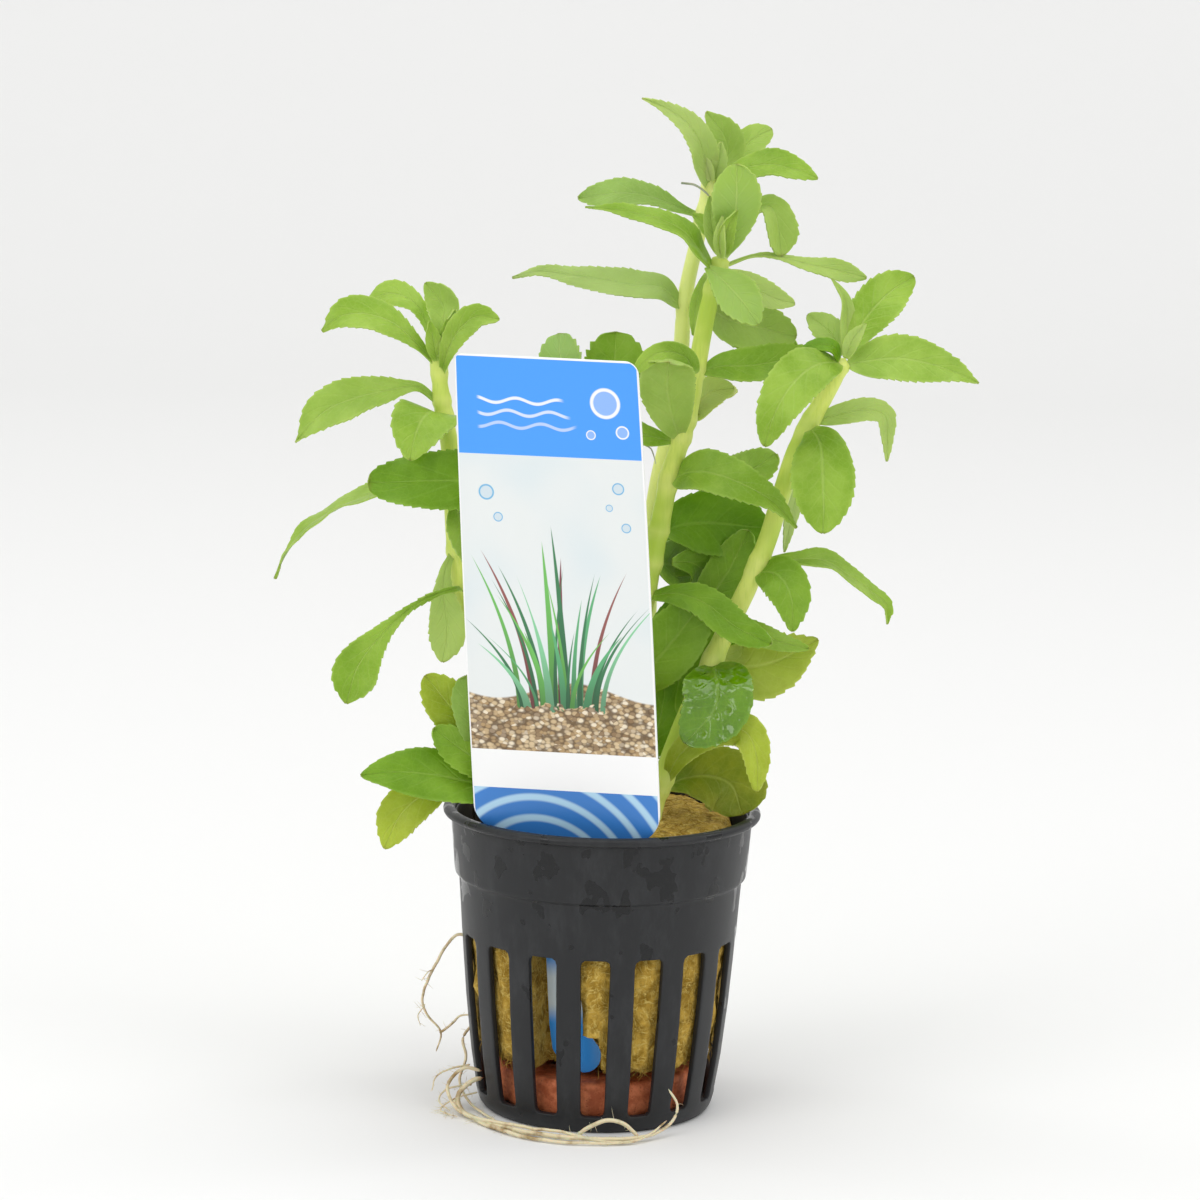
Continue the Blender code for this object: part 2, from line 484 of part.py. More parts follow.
def label_frame():
    """The label's frame: X along its width, Y through it to the back, Z up the plate."""
    place = Matrix.Translation(LABEL_ORIGIN)
    return (place @ Matrix.Rotation(LABEL_YAW, 4, "Z") @ Matrix.Rotation(LABEL_LEAN, 4, "X")
            @ Matrix.Rotation(-LABEL_ROLL, 4, "Y"))


def arc(centre, radius, start, end, count=5):
    """Points of an arc in degrees, as (x, z)."""
    angles = [math.radians(start + (end - start) * i / (count - 1)) for i in range(count)]
    return [(centre[0] + radius * math.cos(a), centre[1] + radius * math.sin(a)) for a in angles]


def build_plug(parts, cutters, material):
    """The rock wool plug, with a socket for each stem and a channel for the label's stake."""
    profile = ((0.0, PLUG_TOP), (PLUG_RADIUS - PLUG_EDGE, PLUG_TOP), (PLUG_RADIUS, PLUG_TOP - PLUG_EDGE),
               *PLUG_SIDE, (0.0, PLUG_FOOT))
    plug = turned("rock_wool_plug", profile, PLUG_STEPS, parts, material)
    bm = bmesh.new()
    depth = PLUG_TOP + 2.0 - SOCKET_FLOOR
    for stem in STEMS:
        radius = stem.foot_radius + GAP
        place = Matrix.Translation((*stem.socket, SOCKET_FLOOR + depth / 2))
        bmesh.ops.create_cone(bm, cap_ends=True, segments=SOCKET_SIDES, radius1=radius, radius2=radius,
                              depth=depth, matrix=place)
    cut(plug, mark_cutter(add_bmesh("socket_cutter", bm, cutters)))
    behind = LABEL_THICKNESS / 2 + GAP
    for number, (left, right, low, high) in enumerate(LABEL_CHANNELS, start=1):
        bm = bmesh.new()
        for vert in bmesh.ops.create_cube(bm, size=1.0)["verts"]:
            vert.co = (left if vert.co.x < 0 else right, -CHANNEL_REACH if vert.co.y < 0 else behind,
                       low if vert.co.z < 0 else high)
        bmesh.ops.transform(bm, matrix=label_frame(), verts=bm.verts)
        cut(plug, mark_cutter(add_bmesh(f"label_channel_{number}", bm, cutters)))
    return plug


def build_ring(parts, material):
    """The clay ring on the pot's floor, a turned ring whose profile is closed."""
    profile = ((RING_BORE, RING_FOOT), (RING_BORE, RING_TOP), (RING_RADIUS - RING_EDGE, RING_TOP),
               (RING_RADIUS, RING_TOP - RING_EDGE), (RING_RADIUS, RING_FOOT), (RING_BORE, RING_FOOT))
    return turned("clay_ring", profile, PLUG_STEPS, parts, material)


def build_label(parts, material):
    """The plant label: a flat outline with round corners and a barbed stake, as thick as its plate."""
    half = LABEL_WIDTH / 2
    top, foot = LABEL_TOP_CORNER, LABEL_FOOT_CORNER
    outline = arc((half - top, LABEL_TOP - top), top, 0, 90)
    outline += arc((top - half, LABEL_TOP - top), top, 90, 180)
    outline += arc((foot - half, LABEL_FOOT + foot), foot, 180, 270)
    neck = LABEL_FOOT - STAKE_SHOULDER
    outline += [(STAKE_LEFT - STAKE_SHOULDER, LABEL_FOOT), (STAKE_LEFT, neck), (STAKE_LEFT, BARB_TOP)]
    outline += arc(*BARB_HEEL, 4)
    outline += arc(*BARB_TOE, 5)
    outline += [(STAKE_RIGHT, BARB_TOP), (STAKE_RIGHT, neck), (STAKE_RIGHT + STAKE_SHOULDER, LABEL_FOOT)]
    outline += arc((half - foot, LABEL_FOOT + foot), foot, 270, 360)
    curve = bpy.data.curves.new("plant_label", "CURVE")
    curve.dimensions = "2D"
    curve.fill_mode = "BOTH"
    curve.extrude = LABEL_THICKNESS / 2 * MM
    spline = curve.splines.new("POLY")
    spline.points.add(len(outline) - 1)
    for point, (x, z) in zip(spline.points, outline):
        point.co = (x * MM, z * MM, 0.0, 1.0)
    spline.use_cyclic_u = True
    label = add_object("plant_label", curve, parts, material)
    frame = label_frame() @ Matrix.Rotation(math.pi / 2, 4, "X")
    frame.translation *= MM
    label.matrix_world = frame
    return label


class GrownStem:
    """A stem's real points and radii, from its top to its foot."""

    def __init__(self, stem):
        socket = Vector((*stem.socket, 0.0))
        mouth = socket + Vector((0, 0, PLUG_TOP + 1.5))
        foot = socket + Vector((0, 0, STEM_FOOT))
        drawn = [from_view(*view) for view in stem.view]
        self.points = smooth_path([*drawn, mouth], STEM_POINTS) + [foot]
        share = np.linspace(0.0, 1.0, STEM_POINTS)
        self.radii = [stem.top_radius + (stem.foot_radius - stem.top_radius) * s for s in share]
        self.radii.append(stem.foot_radius)

    def at_height(self, height):
        """The axis point and the radius at this height."""
        heights = np.array([p.z for p in self.points])[::-1]
        values = np.array([(*p, r) for p, r in zip(self.points, self.radii)])[::-1]
        place = [np.interp(height, heights, values[:, k]) for k in range(4)]
        return Vector(place[:3]), place[3]


def build_stems(parts, material):
    """The five stems as tubes, and where each one runs."""
    grown = {}
    for stem in STEMS:
        grown[stem.name] = GrownStem(stem)
        add_tube(stem.name, grown[stem.name].points, grown[stem.name].radii, STEM_SIDES, parts,
                 material)
    return grown


def leaf_midrib(leaf, stem, count):
    """Points along the midrib, which springs from just off the stem's side."""
    drawn = [from_view(*view) for view in leaf.view]
    axis, radius = stem.at_height(drawn[0].z)
    out = drawn[1] - axis
    out.z *= LEAF_SPRING
    out.normalize()
    drawn[0] = axis + out * (radius + LEAF_GAP + LEAF_THICKNESS / 2)
    return smooth_path(drawn, count)


def leaf_half_width(leaf, t):
    """Half the blade's width at the part t of its length."""
    swell = math.sin(math.pi * t ** (math.log(0.5) / math.log(leaf.widest)))
    return leaf.half * max(swell, 0.0) ** leaf.taper + STALK_HALF * (1 - t) ** 2 + TIP_HALF * t


def leaf_frame(leaf, midrib, i):
    """The blade's side direction and upper side at a point of the midrib."""
    along = (midrib[min(i + 1, len(midrib) - 1)] - midrib[max(i - 1, 0)]).normalized()
    t = i / (len(midrib) - 1)
    face = Vector(leaf.face).normalized().lerp(Vector(leaf.face_tip or leaf.face).normalized(), t)
    side = face.cross(along).normalized()
    return side, along.cross(side)


def build_leaf(leaf, stem, parts, material):
    """One blade: a grid laid along the midrib, folded a little and given its thickness."""
    midrib = leaf_midrib(leaf, stem, LEAF_ROWS + 1)
    bm = bmesh.new()
    bmesh.ops.create_grid(bm, x_segments=LEAF_COLUMNS, y_segments=LEAF_ROWS, size=1.0)
    rise = math.radians(leaf.fold)
    for vert in bm.verts:
        across, t = vert.co.x, (vert.co.y + 1) / 2
        i = round(t * LEAF_ROWS)
        side, up = leaf_frame(leaf, midrib, i)
        reach = leaf_half_width(leaf, t) * across
        vert.co = midrib[i] + side * (reach * math.cos(rise)) + up * (abs(reach) * math.sin(rise))
    obj = add_bmesh(leaf.name, bm, parts, material)
    shell = obj.modifiers.new("thickness", "SOLIDIFY")
    shell.thickness = LEAF_THICKNESS * MM
    shell.offset = 0.0
    return obj


def build_roots(parts, material):
    """The thin roots that left the slots and lie round the foot."""
    for root in ROOTS:
        path = smooth_path(root.points, ROOT_POINTS)
        add_tube(root.name, path, [root.radius] * len(path), ROOT_SIDES, parts, material)


def main():
    """Builds the whole part."""
    clear_scene()
    parts = make_collection(OBJECT_NAME)
    cutters = make_collection("cutters")
    materials = {name: make_material(name) for name in COLOURS}
    build_pot(parts, cutters, materials["pot"])
    build_plug(parts, cutters, materials["wool"])
    build_ring(parts, materials["clay"])
    build_label(parts, materials["label"])
    grown = build_stems(parts, materials["stem"])
    for leaf in LEAVES:
        build_leaf(leaf, grown[leaf.stem], parts, materials[leaf.colour])
    build_roots(parts, materials["root"])


main()
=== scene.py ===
"""Looks of the potted rice paddy herb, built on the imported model's frame.

Tables and sizes are in millimetres, and MM scales them to the frame's metres. Stems, leaves and
roots repeat the drawing of the part's own source: x and z of a front view on the plane y = 0, seen
from the eye point, and the depth y.
"""

import json
import logging
import math
import random
from dataclasses import dataclass
from enum import Enum
from typing import Callable, ClassVar, Optional, Sequence

import bmesh
import bpy
import numpy as np
from mathutils import Matrix, Vector, noise

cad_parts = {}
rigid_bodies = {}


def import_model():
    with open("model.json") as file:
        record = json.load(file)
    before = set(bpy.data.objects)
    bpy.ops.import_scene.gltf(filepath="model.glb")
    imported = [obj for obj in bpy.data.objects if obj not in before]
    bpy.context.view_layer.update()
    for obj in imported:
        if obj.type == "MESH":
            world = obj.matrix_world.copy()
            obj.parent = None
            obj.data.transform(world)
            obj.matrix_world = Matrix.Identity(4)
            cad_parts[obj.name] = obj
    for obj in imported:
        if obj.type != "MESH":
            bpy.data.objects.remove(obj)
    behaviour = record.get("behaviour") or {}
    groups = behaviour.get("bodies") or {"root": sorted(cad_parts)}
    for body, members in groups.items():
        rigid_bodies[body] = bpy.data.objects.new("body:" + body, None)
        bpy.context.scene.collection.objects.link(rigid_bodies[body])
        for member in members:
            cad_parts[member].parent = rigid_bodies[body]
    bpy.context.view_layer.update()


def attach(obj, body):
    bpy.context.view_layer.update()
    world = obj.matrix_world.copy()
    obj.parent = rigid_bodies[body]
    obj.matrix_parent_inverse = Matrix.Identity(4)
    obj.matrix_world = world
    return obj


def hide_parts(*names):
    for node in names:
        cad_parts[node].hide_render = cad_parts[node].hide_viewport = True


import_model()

MM = 0.001
BODY = "root"

# The front view in which stems and leaves are drawn
EYE_DISTANCE = 650.0
EYE_HEIGHT = 190.0

# Net pot
POT_HEIGHT = 51.0
POT_WALL = 1.0
POT_PROFILE = ((0, 0), (3, 0), (7, 0), (11, 0), (15, 0), (17.5, 0), (18.6, 0), (19.1, 0.25), (19.5, 0.8),
               (19.8, 1.6), (20.05, 2.6), (20.1, 2.9), (20.13, 3.2), (20.2, 3.8), (20.65, 6.6),
               (21.1, 9.5), (21.6, 14.1), (22.1, 18.7), (22.4, 22.4), (22.7, 26.0), (22.9, 28.8),
               (22.97, 29.6), (23.0, 30.0), (23.05, 30.8), (23.3, 34.5), (23.6, 38.6), (23.7, 39.2),
               (23.95, 39.45), (24.3, 39.75), (24.4, 40.3), (24.75, 44.5), (25.1, 48.9), (25.2, 49.8))
WALL_ROW = 7
SLOT_COUNT = 16
SLOT_PERIOD = 2 * math.pi / SLOT_COUNT
SLOT_TURN = math.radians(-1.0)
SLOT_FOOT = 2.9
SLOT_TOP = 30.0
SLOT_WIDTHS = (4.0, 5.0)
FLOOR_SLOT_WIDTH = 2.6
FLOOR_SLOT_REACH = (7.0, 15.0)

# Rock wool plug and clay ring
PLUG_TOP = 50.0
STEM_FOOT = 44.6
RING_RADIUS = 17.0
RING_BORE = 8.0
RING_FOOT = 1.7
RING_TOP = 7.8

# Plant label
LABEL_ORIGIN = (-5.1, -18.5, 50.0)
LABEL_YAW = math.radians(-15.7)
LABEL_LEAN = math.radians(8.3)
LABEL_ROLL = math.radians(1.5)
LABEL_WIDTH = 30.7
LABEL_TOP = 79.5
LABEL_FOOT = -1.0
LABEL_THICKNESS = 0.5
LABEL_TOP_CORNER = 2.2
LABEL_FOOT_CORNER = 5.5
STAKE_LEFT = -5.0
STAKE_RIGHT = 1.0
STAKE_SHOULDER = 0.8
BARB_TOP = -33.5
BARB_REACH = 3.7
BARB_HEEL = ((0.2, -36.0), 5.2, 200, 262)
BARB_TOE = ((0.3, -38.4), 3.4, 270, 385)

# Stems and leaves
STEM_POINTS = 11
STEM_RINGS = 110
LEAF_THICKNESS = 0.26
LEAF_SPRING = 0.3
LEAF_COLUMNS = 12
ROWS_PER_TOOTH = 5
TOOTH_SPACING = 1.4
STALK_HALF = 0.6
TIP_HALF = 0.12
VEIN_COUNT = 7.0
VEIN_CURVE = 0.8
VEIN_SLANT = 1.9
SWING_LENGTH = 7.5
FLUTTER_LENGTH = 3.4

Array = np.ndarray
Colour = tuple[float, float, float]
Place = Callable[[Array, Array], Array]
Points = Sequence[Sequence[float]]
Material = bpy.types.Material
Node = bpy.types.Node
Obj = bpy.types.Object
Socket = bpy.types.NodeSocket
Tree = bpy.types.NodeTree
log = logging.getLogger("rice_paddy_herb")


class Tone(Enum):
    """The leaf colours, each with its material's name."""

    FRESH = "leaf_fresh"
    DEEP = "leaf_deep"
    PALE = "leaf_pale"
    YELLOWED = "leaf_yellowed"
    OLIVE = "leaf_olive"

    @property
    def slot(self) -> str:
        """The record's slot that this colour belongs to."""
        return Tone.DEEP.value if self is Tone.OLIVE else self.value


@dataclass(frozen=True)
class Stem:
    """A stem, drawn from its top to where it reaches the plug, and the socket that it stands in."""

    name: str
    view: tuple
    socket: tuple
    top_radius: float
    foot_radius: float
    pale: float = 0.0


@dataclass(frozen=True)
class Leaf:
    """A leaf blade: its midrib in the front view (x, z, y) from the stem to the tip, and its form.

    half is the largest half width, widest the part of the length where it lies, and taper is high for
    a drawn out outline. face is the way the upper side looks, and face_tip that way at the tip. fold
    is the rise of the two halves from the midrib in degrees, and teeth scales the teeth. depth
    deepens the finish up to 1 and pales it down to -1; left out, it is 1 for the deep tone, else 0.
    Depth is partly each leaf's own tone and partly painted light: deepening paints shade on leaves
    that lie in shadow, and paling paints light and sheen on leaves that look more lit.
    """

    name: str
    view: tuple
    half: float
    face: tuple = (0.0, -1.0, 0.3)
    face_tip: Optional[tuple] = None
    widest: float = 0.5
    taper: float = 0.9
    fold: float = 12.0
    tone: Tone = Tone.FRESH
    gloss: bool = False
    ripple: float = 0.35
    teeth: float = 1.0
    depth: Optional[float] = None


@dataclass(frozen=True)
class Strand:
    """A thin strand: its points (x, y, z) in real places, and its radius."""

    points: tuple
    radius: float


STEMS = (
    Stem("stem_left", ((-28.8, 127.3, -8), (-28.2, 119.6, -8), (-26.5, 110, -8), (-24.8, 91, -8),
         (-23, 85, -7.5), (-18.5, 68, -6), (-15.2, 56, -5)), (-14.5, -5), 1.25, 2.1),
    Stem("stem_back", ((15.3, 156.8, 8), (14.5, 151, 8), (12.2, 141.5, 8), (11.4, 134.8, 8), (11, 126, 8.5),
         (10.1, 117, 9), (7.2, 100, 10), (6.6, 78, 11)), (7.2, 11), 1.1, 1.8, 0.6),
    Stem("stem_centre", ((17.4, 143.4, -1), (15.6, 136, -1), (14, 127, -1), (13.2, 119, -1), (10.5, 110, -1),
         (8, 96.3, -1), (3.8, 73, -0.5)), (-0.5, 0), 1.35, 1.85),
    Stem("stem_right", ((38, 126.9, -4), (36.2, 123.5, -4), (33.3, 117.2, -4), (29.8, 110, -4),
         (27.3, 100, -4), (24.8, 92.5, -4), (21.9, 85.5, -4.5), (18.5, 78, -5), (15, 69.5, -6),
         (12.1, 62, -7)), (8.2, -7.5), 1.4, 1.75),
    Stem("stem_short", ((-3, 115, 3), (-3.2, 100, 3.5), (-4, 75, 5.5)), (-5.6, 7.5), 1.2, 1.9),
)

# The leaves with solids of their own, each stem's from the tip down
LEAVES = {"left": (
    Leaf("tip_long", ((-29.2, 124.2, -9), (-32.2, 127.4, -10), (-36.3, 130.6, -11), (-41, 132.1, -12),
         (-45, 131.7, -13), (-48, 129.3, -13)), 3.5, (0, -0.7, 0.7), widest=0.64, taper=1.15),
    Leaf("tip_arched", ((-29.3, 125.2, -7), (-30.4, 130.2, -2), (-32.6, 134, 0), (-36.4, 135.7, 2),
         (-40.4, 134.6, 4)), 2.4, (-0.5, -0.8, 0.5), (0, -0.8, 0.6), widest=0.8, taper=0.75),
    Leaf("tip_upright", ((-28.4, 126, -9.5), (-27.9, 130.5, -7.5), (-28.2, 134, -6), (-31, 137.5, -5)), 2.5,
         (0, -1, 0.2), widest=0.6, taper=0.8, depth=-0.2),
    Leaf("tip_right", ((-28.4, 122.4, -9.5), (-27, 126.8, -11.4), (-25, 130.4, -12), (-22.3, 132.3, -12),
         (-18.8, 131.8, -12)), 2.2, (0, -1, 0.4), widest=0.66, taper=0.8, fold=14, depth=-0.05),
    Leaf("upper_long", ((-29.2, 118, -8), (-31.9, 120.3, -9), (-36, 119.9, -9.5), (-42, 118.4, -10),
         (-47.5, 115.6, -11), (-51.9, 110.6, -12)), 3.8, (0, -0.8, 0.6), widest=0.62, taper=1.35,
         depth=-0.15),
    Leaf("upper_front", ((-28, 115.8, -9.5), (-29.6, 116.1, -12.6), (-31.2, 114.9, -15.2),
         (-32.3, 112.2, -16.8), (-33.1, 108.2, -17.8)), 5, (0, -0.25, 1), (0, -0.97, 0.2), widest=0.42,
         taper=0.7, fold=4, depth=0.12),
    Leaf("middle_slender", ((-26.6, 104.4, -8), (-32, 104.3, -6), (-38, 102.7, -4), (-44.5, 100.3, -2),
         (-50, 96.8, 0), (-53.2, 92.3, 1), (-55, 87.9, 2)), 3.2, (0, -0.22, 1), (-0.5, -0.3, 0.9),
         widest=0.45, taper=1.3, depth=-0.1),
    Leaf("low_long", ((-23.9, 87, -8.5), (-25.2, 86.9, -13.2), (-28.5, 85.9, -14.6), (-33, 83.2, -15),
         (-37.6, 78.6, -15.5), (-41.2, 73.3, -16), (-43, 67.2, -17)), 3.7, (0.2, -0.9, 0.5), widest=0.84,
         taper=0.95, fold=10, depth=0.2),
    Leaf("low_hanging", ((-25.2, 93.6, -8.2), (-26.9, 90, -10.6), (-27.1, 86, -11), (-26.4, 80, -11.4),
         (-27.1, 74.6, -12)), 3, (0.1, -1, 0.2), widest=0.72, taper=0.8, fold=8, depth=-0.47),
    Leaf("foot_folded", ((-16.5, 60, -6.5), (-21.5, 62.2, -10.5), (-25.6, 67, -11.5), (-29.9, 72.3, -12)),
         3.7, (0.2, -1, 0), widest=0.68, taper=0.6, tone=Tone.YELLOWED, depth=0.15),
    Leaf("foot_long", ((-15.2, 54.6, -6), (-21, 54.3, -11.5), (-28, 55.4, -13), (-34.5, 55.7, -13.5),
         (-40.4, 55, -14)), 4.3, (0, -0.9, 0.5), widest=0.54, taper=0.75, fold=10, tone=Tone.DEEP, depth=0.72,
         teeth=0.6),
    Leaf("foot_yellow", ((-15.6, 57, -5), (-22.5, 57.2, -6), (-28.5, 53.2, -9), (-33.4, 48.8, -10),
         (-36.2, 42.7, -10.5)), 3.7, (0, -0.9, 0.5), widest=0.7, taper=0.8, fold=10, tone=Tone.YELLOWED),
), "short": (
    Leaf("tip_left", ((-3.2, 114, 2.2), (-6.2, 120, 1), (-8.6, 125.5, 1), (-9.1, 129.8, 3)), 3.5,
         (0.2, 1, 0.1), widest=0.7, taper=0.45, fold=-8, tone=Tone.PALE, teeth=1.6),
    Leaf("tip_right", ((-2.6, 114.4, 2.6), (-0.8, 119.5, 5), (0.2, 125, 6), (0.3, 130.3, 6)), 5, (0, -1, 0.2),
         widest=0.68, taper=0.45, fold=14, tone=Tone.DEEP, depth=0.3, teeth=2),
    Leaf("broad", ((-3.2, 101, 3), (-11, 104, -6), (-19, 105.2, -12.5), (-28, 104.9, -15),
         (-39.9, 104.3, -15)), 4.8, (0.1, -0.95, 0.3), widest=0.66, taper=0.42, fold=8, tone=Tone.DEEP,
         depth=0.75),
), "back": (
    Leaf("tip_long", ((14.6, 154.2, 7), (14.3, 157.4, 4.6), (13.3, 161.2, 2.4), (11.2, 164.3, 0.6),
         (7.6, 166.7, -1), (3.6, 168.3, -3)), 2.3, (0.3, -1, 0.3), widest=0.4, taper=1.15, fold=14,
         depth=-0.6),
    Leaf("tip_upright", ((15.8, 155, 8.5), (17.6, 158.4, 10), (17.3, 162.2, 10), (14.1, 166.4, 9)), 3,
         (-0.1, -1, 0.2), widest=0.56, fold=18, depth=-0.3),
    Leaf("tip_right", ((15.6, 154.2, 7), (20, 157.3, 4), (24.5, 158.2, 2.5), (28.5, 157.4, 1.5),
         (32.5, 156, 1)), 2.6, (0, -0.8, 0.6), widest=0.62, taper=0.8, fold=14, depth=0.12),
    Leaf("tip_far", ((15.6, 154, 9.5), (18.4, 158.4, 14), (21.4, 161.8, 16), (24.8, 163.8, 18)), 2.4,
         widest=0.72, taper=0.6, depth=-0.22),
    Leaf("upper_left", ((14.2, 149.5, 7), (10.5, 150.6, 6), (6.5, 152, 6), (1.5, 152.8, 7), (-2.5, 152.6, 8),
         (-6.4, 151.9, 9)), 2.9, (0, -0.75, 0.65), widest=0.68, taper=0.8, tone=Tone.PALE, depth=0.05),
    Leaf("upper_back", ((14.6, 149, 9.5), (18, 151.5, 15), (20, 152, 21), (20.5, 150, 27)), 3.4,
         (0.1, 0.2, 1), fold=14, tone=Tone.DEEP),
    Leaf("middle_left", ((11.2, 134.6, 7), (7.5, 137.7, 5), (2.5, 137.9, 5), (-3, 138.7, 6), (-8.5, 139.5, 7),
         (-12.8, 139.9, 8), (-16.9, 138.8, 9)), 2.6, (0, -0.75, 0.65), widest=0.36, taper=1, tone=Tone.PALE,
         depth=-0.38),
), "centre": (
    Leaf("tip_round", ((17.8, 142.6, -2), (19.1, 148, -4), (19.4, 152.9, -5), (19.3, 158.1, -5)), 3.9,
         (0, 1, 0.2), widest=0.66, taper=0.6, fold=-8),
    Leaf("tip_arched", ((18.4, 141.8, 0.5), (20.8, 146.8, 4), (22.9, 150.6, 4), (25.5, 150.4, 3),
         (27.1, 143.4, 2)), 3.2, (-0.5, 0.6, 0.6), (0.5, -0.85, 0.1), widest=0.8, taper=0.6, fold=24,
         depth=-0.25),
    Leaf("upper_left", ((16.6, 140.4, -2.4), (13.2, 144.3, -4), (10.4, 147.1, -5), (6.5, 149, -5.5),
         (1.5, 150.1, -5.5), (-5.2, 150.4, -5.5)), 2.6, (0.4, -0.55, 0.8), widest=0.38, taper=1, fold=14,
         tone=Tone.DEEP, depth=0.25),
    Leaf("upper_right", ((17.6, 141.4, 0), (21.5, 142.9, 1), (26, 143.4, 2), (31, 142.2, 3), (35.5, 141.3, 4),
         (41, 140.1, 5)), 1.8, (0, -0.2, 1), (0, -1, 0.3), widest=0.78, fold=10, depth=-0.4),
    Leaf("upper_hanging", ((16.3, 138, 1), (19, 134, 5), (23, 131, 8), (30, 128.6, 10)), 4.2, widest=0.45,
         taper=0.8, fold=8, tone=Tone.DEEP, depth=-0.1),
    Leaf("middle_right", ((14.2, 124, -1.5), (18, 125, -2), (23, 125.2, -2), (28.5, 126.4, -1.4),
         (34.2, 128.6, -0.6)), 3.1, (0, -0.9, 0.5), widest=0.48, tone=Tone.DEEP, depth=0.4),
    Leaf("middle_curled", ((10.8, 112.6, -2.6), (9.7, 117.5, -5), (9, 121.5, -6.8), (9, 124.5, -8.6),
         (9.1, 125.9, -10.6), (9.2, 125.3, -12.6)), 4.5, (0, -1, 0.1), (0, 0, -1), widest=0.62, taper=0.5,
         fold=8, depth=-0.25),
    Leaf("middle_back", ((13.4, 116, 0.5), (15.2, 118.8, 5), (17.2, 120.3, 11), (19.2, 121, 18)), 3.3,
         (-0.2, -0.2, 1), widest=0.55, taper=0.8, tone=Tone.YELLOWED),
    Leaf("middle_arching", ((10.6, 106, -2.5), (13.5, 107.4, -5), (17.5, 107.2, -7.5), (22, 105.5, -9),
         (27, 102.6, -10), (31, 98.6, -10.5)), 3.8, (0, -0.8, 0.6), widest=0.34, taper=1, fold=10,
         depth=0.25),
    Leaf("middle_far", ((10.6, 105.4, 0.5), (17, 106.4, 5), (22.5, 107.8, 9), (27.2, 110.8, 12)), 3.2,
         widest=0.72, taper=0.5, fold=10, depth=-0.1),
    Leaf("middle_broad", ((8.6, 97.6, 0), (13, 98.7, 3), (18.4, 99, 5), (26.4, 98.4, 6)), 5.5, widest=0.56,
         taper=0.5, fold=8, tone=Tone.DEEP, depth=0.85),
    Leaf("low_broad", ((7.6, 92.4, 1), (12, 91.6, 6), (16.5, 90, 10), (21.5, 87, 12)), 4.8, taper=0.5, fold=8,
         tone=Tone.DEEP, depth=0.28),
    Leaf("low_long", ((7, 86.4, -2.5), (11.5, 87, -6), (16.5, 85.4, -9.5), (21.5, 81.8, -11.5),
         (27.4, 78.9, -12)), 2.9, (0, -0.85, 0.55), widest=0.62, taper=0.6, fold=10, tone=Tone.DEEP,
         depth=0.7),
    Leaf("low_ascending", ((4.2, 70, -3.5), (7.9, 75.2, -6), (12.2, 80.6, -7), (16.4, 86.8, -7)), 4.9,
         (-0.1, -1, 0.1), widest=0.55, taper=0.55, fold=8, tone=Tone.DEEP, depth=0.65),
    Leaf("foot_dark", ((1.6, 57, 0.5), (6, 60, 1), (9, 65, 0), (10.4, 74.5, 0)), 3.4, (0.2, -1, 0.2),
         widest=0.6, taper=0.6, fold=8, tone=Tone.DEEP, depth=0.7),
), "right": (
    Leaf("tip_upright", ((37.9, 126.6, -3), (39.8, 131.2, 0), (42.2, 134.9, 2), (45.3, 138.2, 4),
         (48.8, 140.5, 5)), 3.7, widest=0.62, taper=0.6, fold=10),
    Leaf("tip_long", ((38.2, 125.8, -4.5), (42, 126.5, -5), (47, 127, -6), (52, 126.3, -7), (56.5, 124.9, -8),
         (60, 123.2, -8.5)), 3.8, (0, -0.9, 0.4), widest=0.42, taper=1, fold=10, depth=-0.1),
    Leaf("tip_broad", ((37.2, 126, -6), (33.2, 125.6, -10.5), (29.6, 122.4, -14), (26.8, 117.5, -16),
         (25.2, 112, -17)), 4, (0, -0.8, 0.6), (0, -1, 0.2), taper=0.65, fold=8, depth=0.1),
    Leaf("upper_bent", ((34, 116.4, -4.5), (38, 117.7, -5), (42, 118.5, -5.5), (44.9, 117.6, -6),
         (45.4, 114, -6), (45.4, 110, -6)), 1.7, (0, -0.9, 0.4), (0.3, -0.9, 0.1), widest=0.42, taper=0.8,
         fold=10, depth=-0.5),
    Leaf("upper_front", ((33.4, 115.2, -6), (34.4, 112.5, -9), (35, 107, -11.5), (35.3, 102, -13),
         (35.3, 97.8, -14)), 5.1, widest=0.56, taper=0.65, fold=8, depth=0.15),
    Leaf("upper_back", ((33, 114.8, -2.5), (34.5, 112, 6), (35.5, 108, 13), (35.5, 103.5, 19)), 3.8,
         (0.1, 0.4, 1), tone=Tone.DEEP),
    Leaf("middle_arching", ((25.2, 92.8, -3.5), (31, 93.2, -2), (35.8, 93.1, 0), (39.8, 91, 1),
         (43.6, 88.4, 2), (46.2, 86, 2), (46.3, 82.9, 2)), 2.4, (0, -0.35, 1), (0.5, -0.5, 0.6), taper=0.8,
         fold=10),
    Leaf("middle_hanging", ((25, 91, -5.5), (28.2, 90.6, -8.5), (30.4, 87, -10), (30.9, 81.2, -11)), 3.6,
         (0, -0.8, 0.6), (0, -1, 0.2), widest=0.42, taper=0.75, fold=8, depth=0.5),
    Leaf("low_yellow", ((18.6, 76.6, -5.5), (22.5, 75, -4), (28, 76, -3), (35.1, 80, -1)), 5.6, (0, -1, 0.4),
         widest=0.38, taper=0.8, fold=8, tone=Tone.YELLOWED, depth=-0.12, teeth=1.6),
    Leaf("low_glossy", ((17.6, 75.4, -7), (18.6, 72.2, -11), (18.2, 67.6, -13.6), (13.5, 61.8, -15)), 5.6,
         (0, -1, 0.4), widest=0.46, taper=0.55, fold=6, tone=Tone.DEEP, gloss=True),
    Leaf("foot_hanging", ((10.2, 55.2, -8), (12.4, 59.4, -10.5), (15.8, 62.8, -11.5), (19.8, 64.6, -12),
         (23.6, 64, -12.5), (25.5, 60, -13), (25.9, 54, -13)), 2.8, (-0.2, -1, 0.5), (0.3, -1, 0.1),
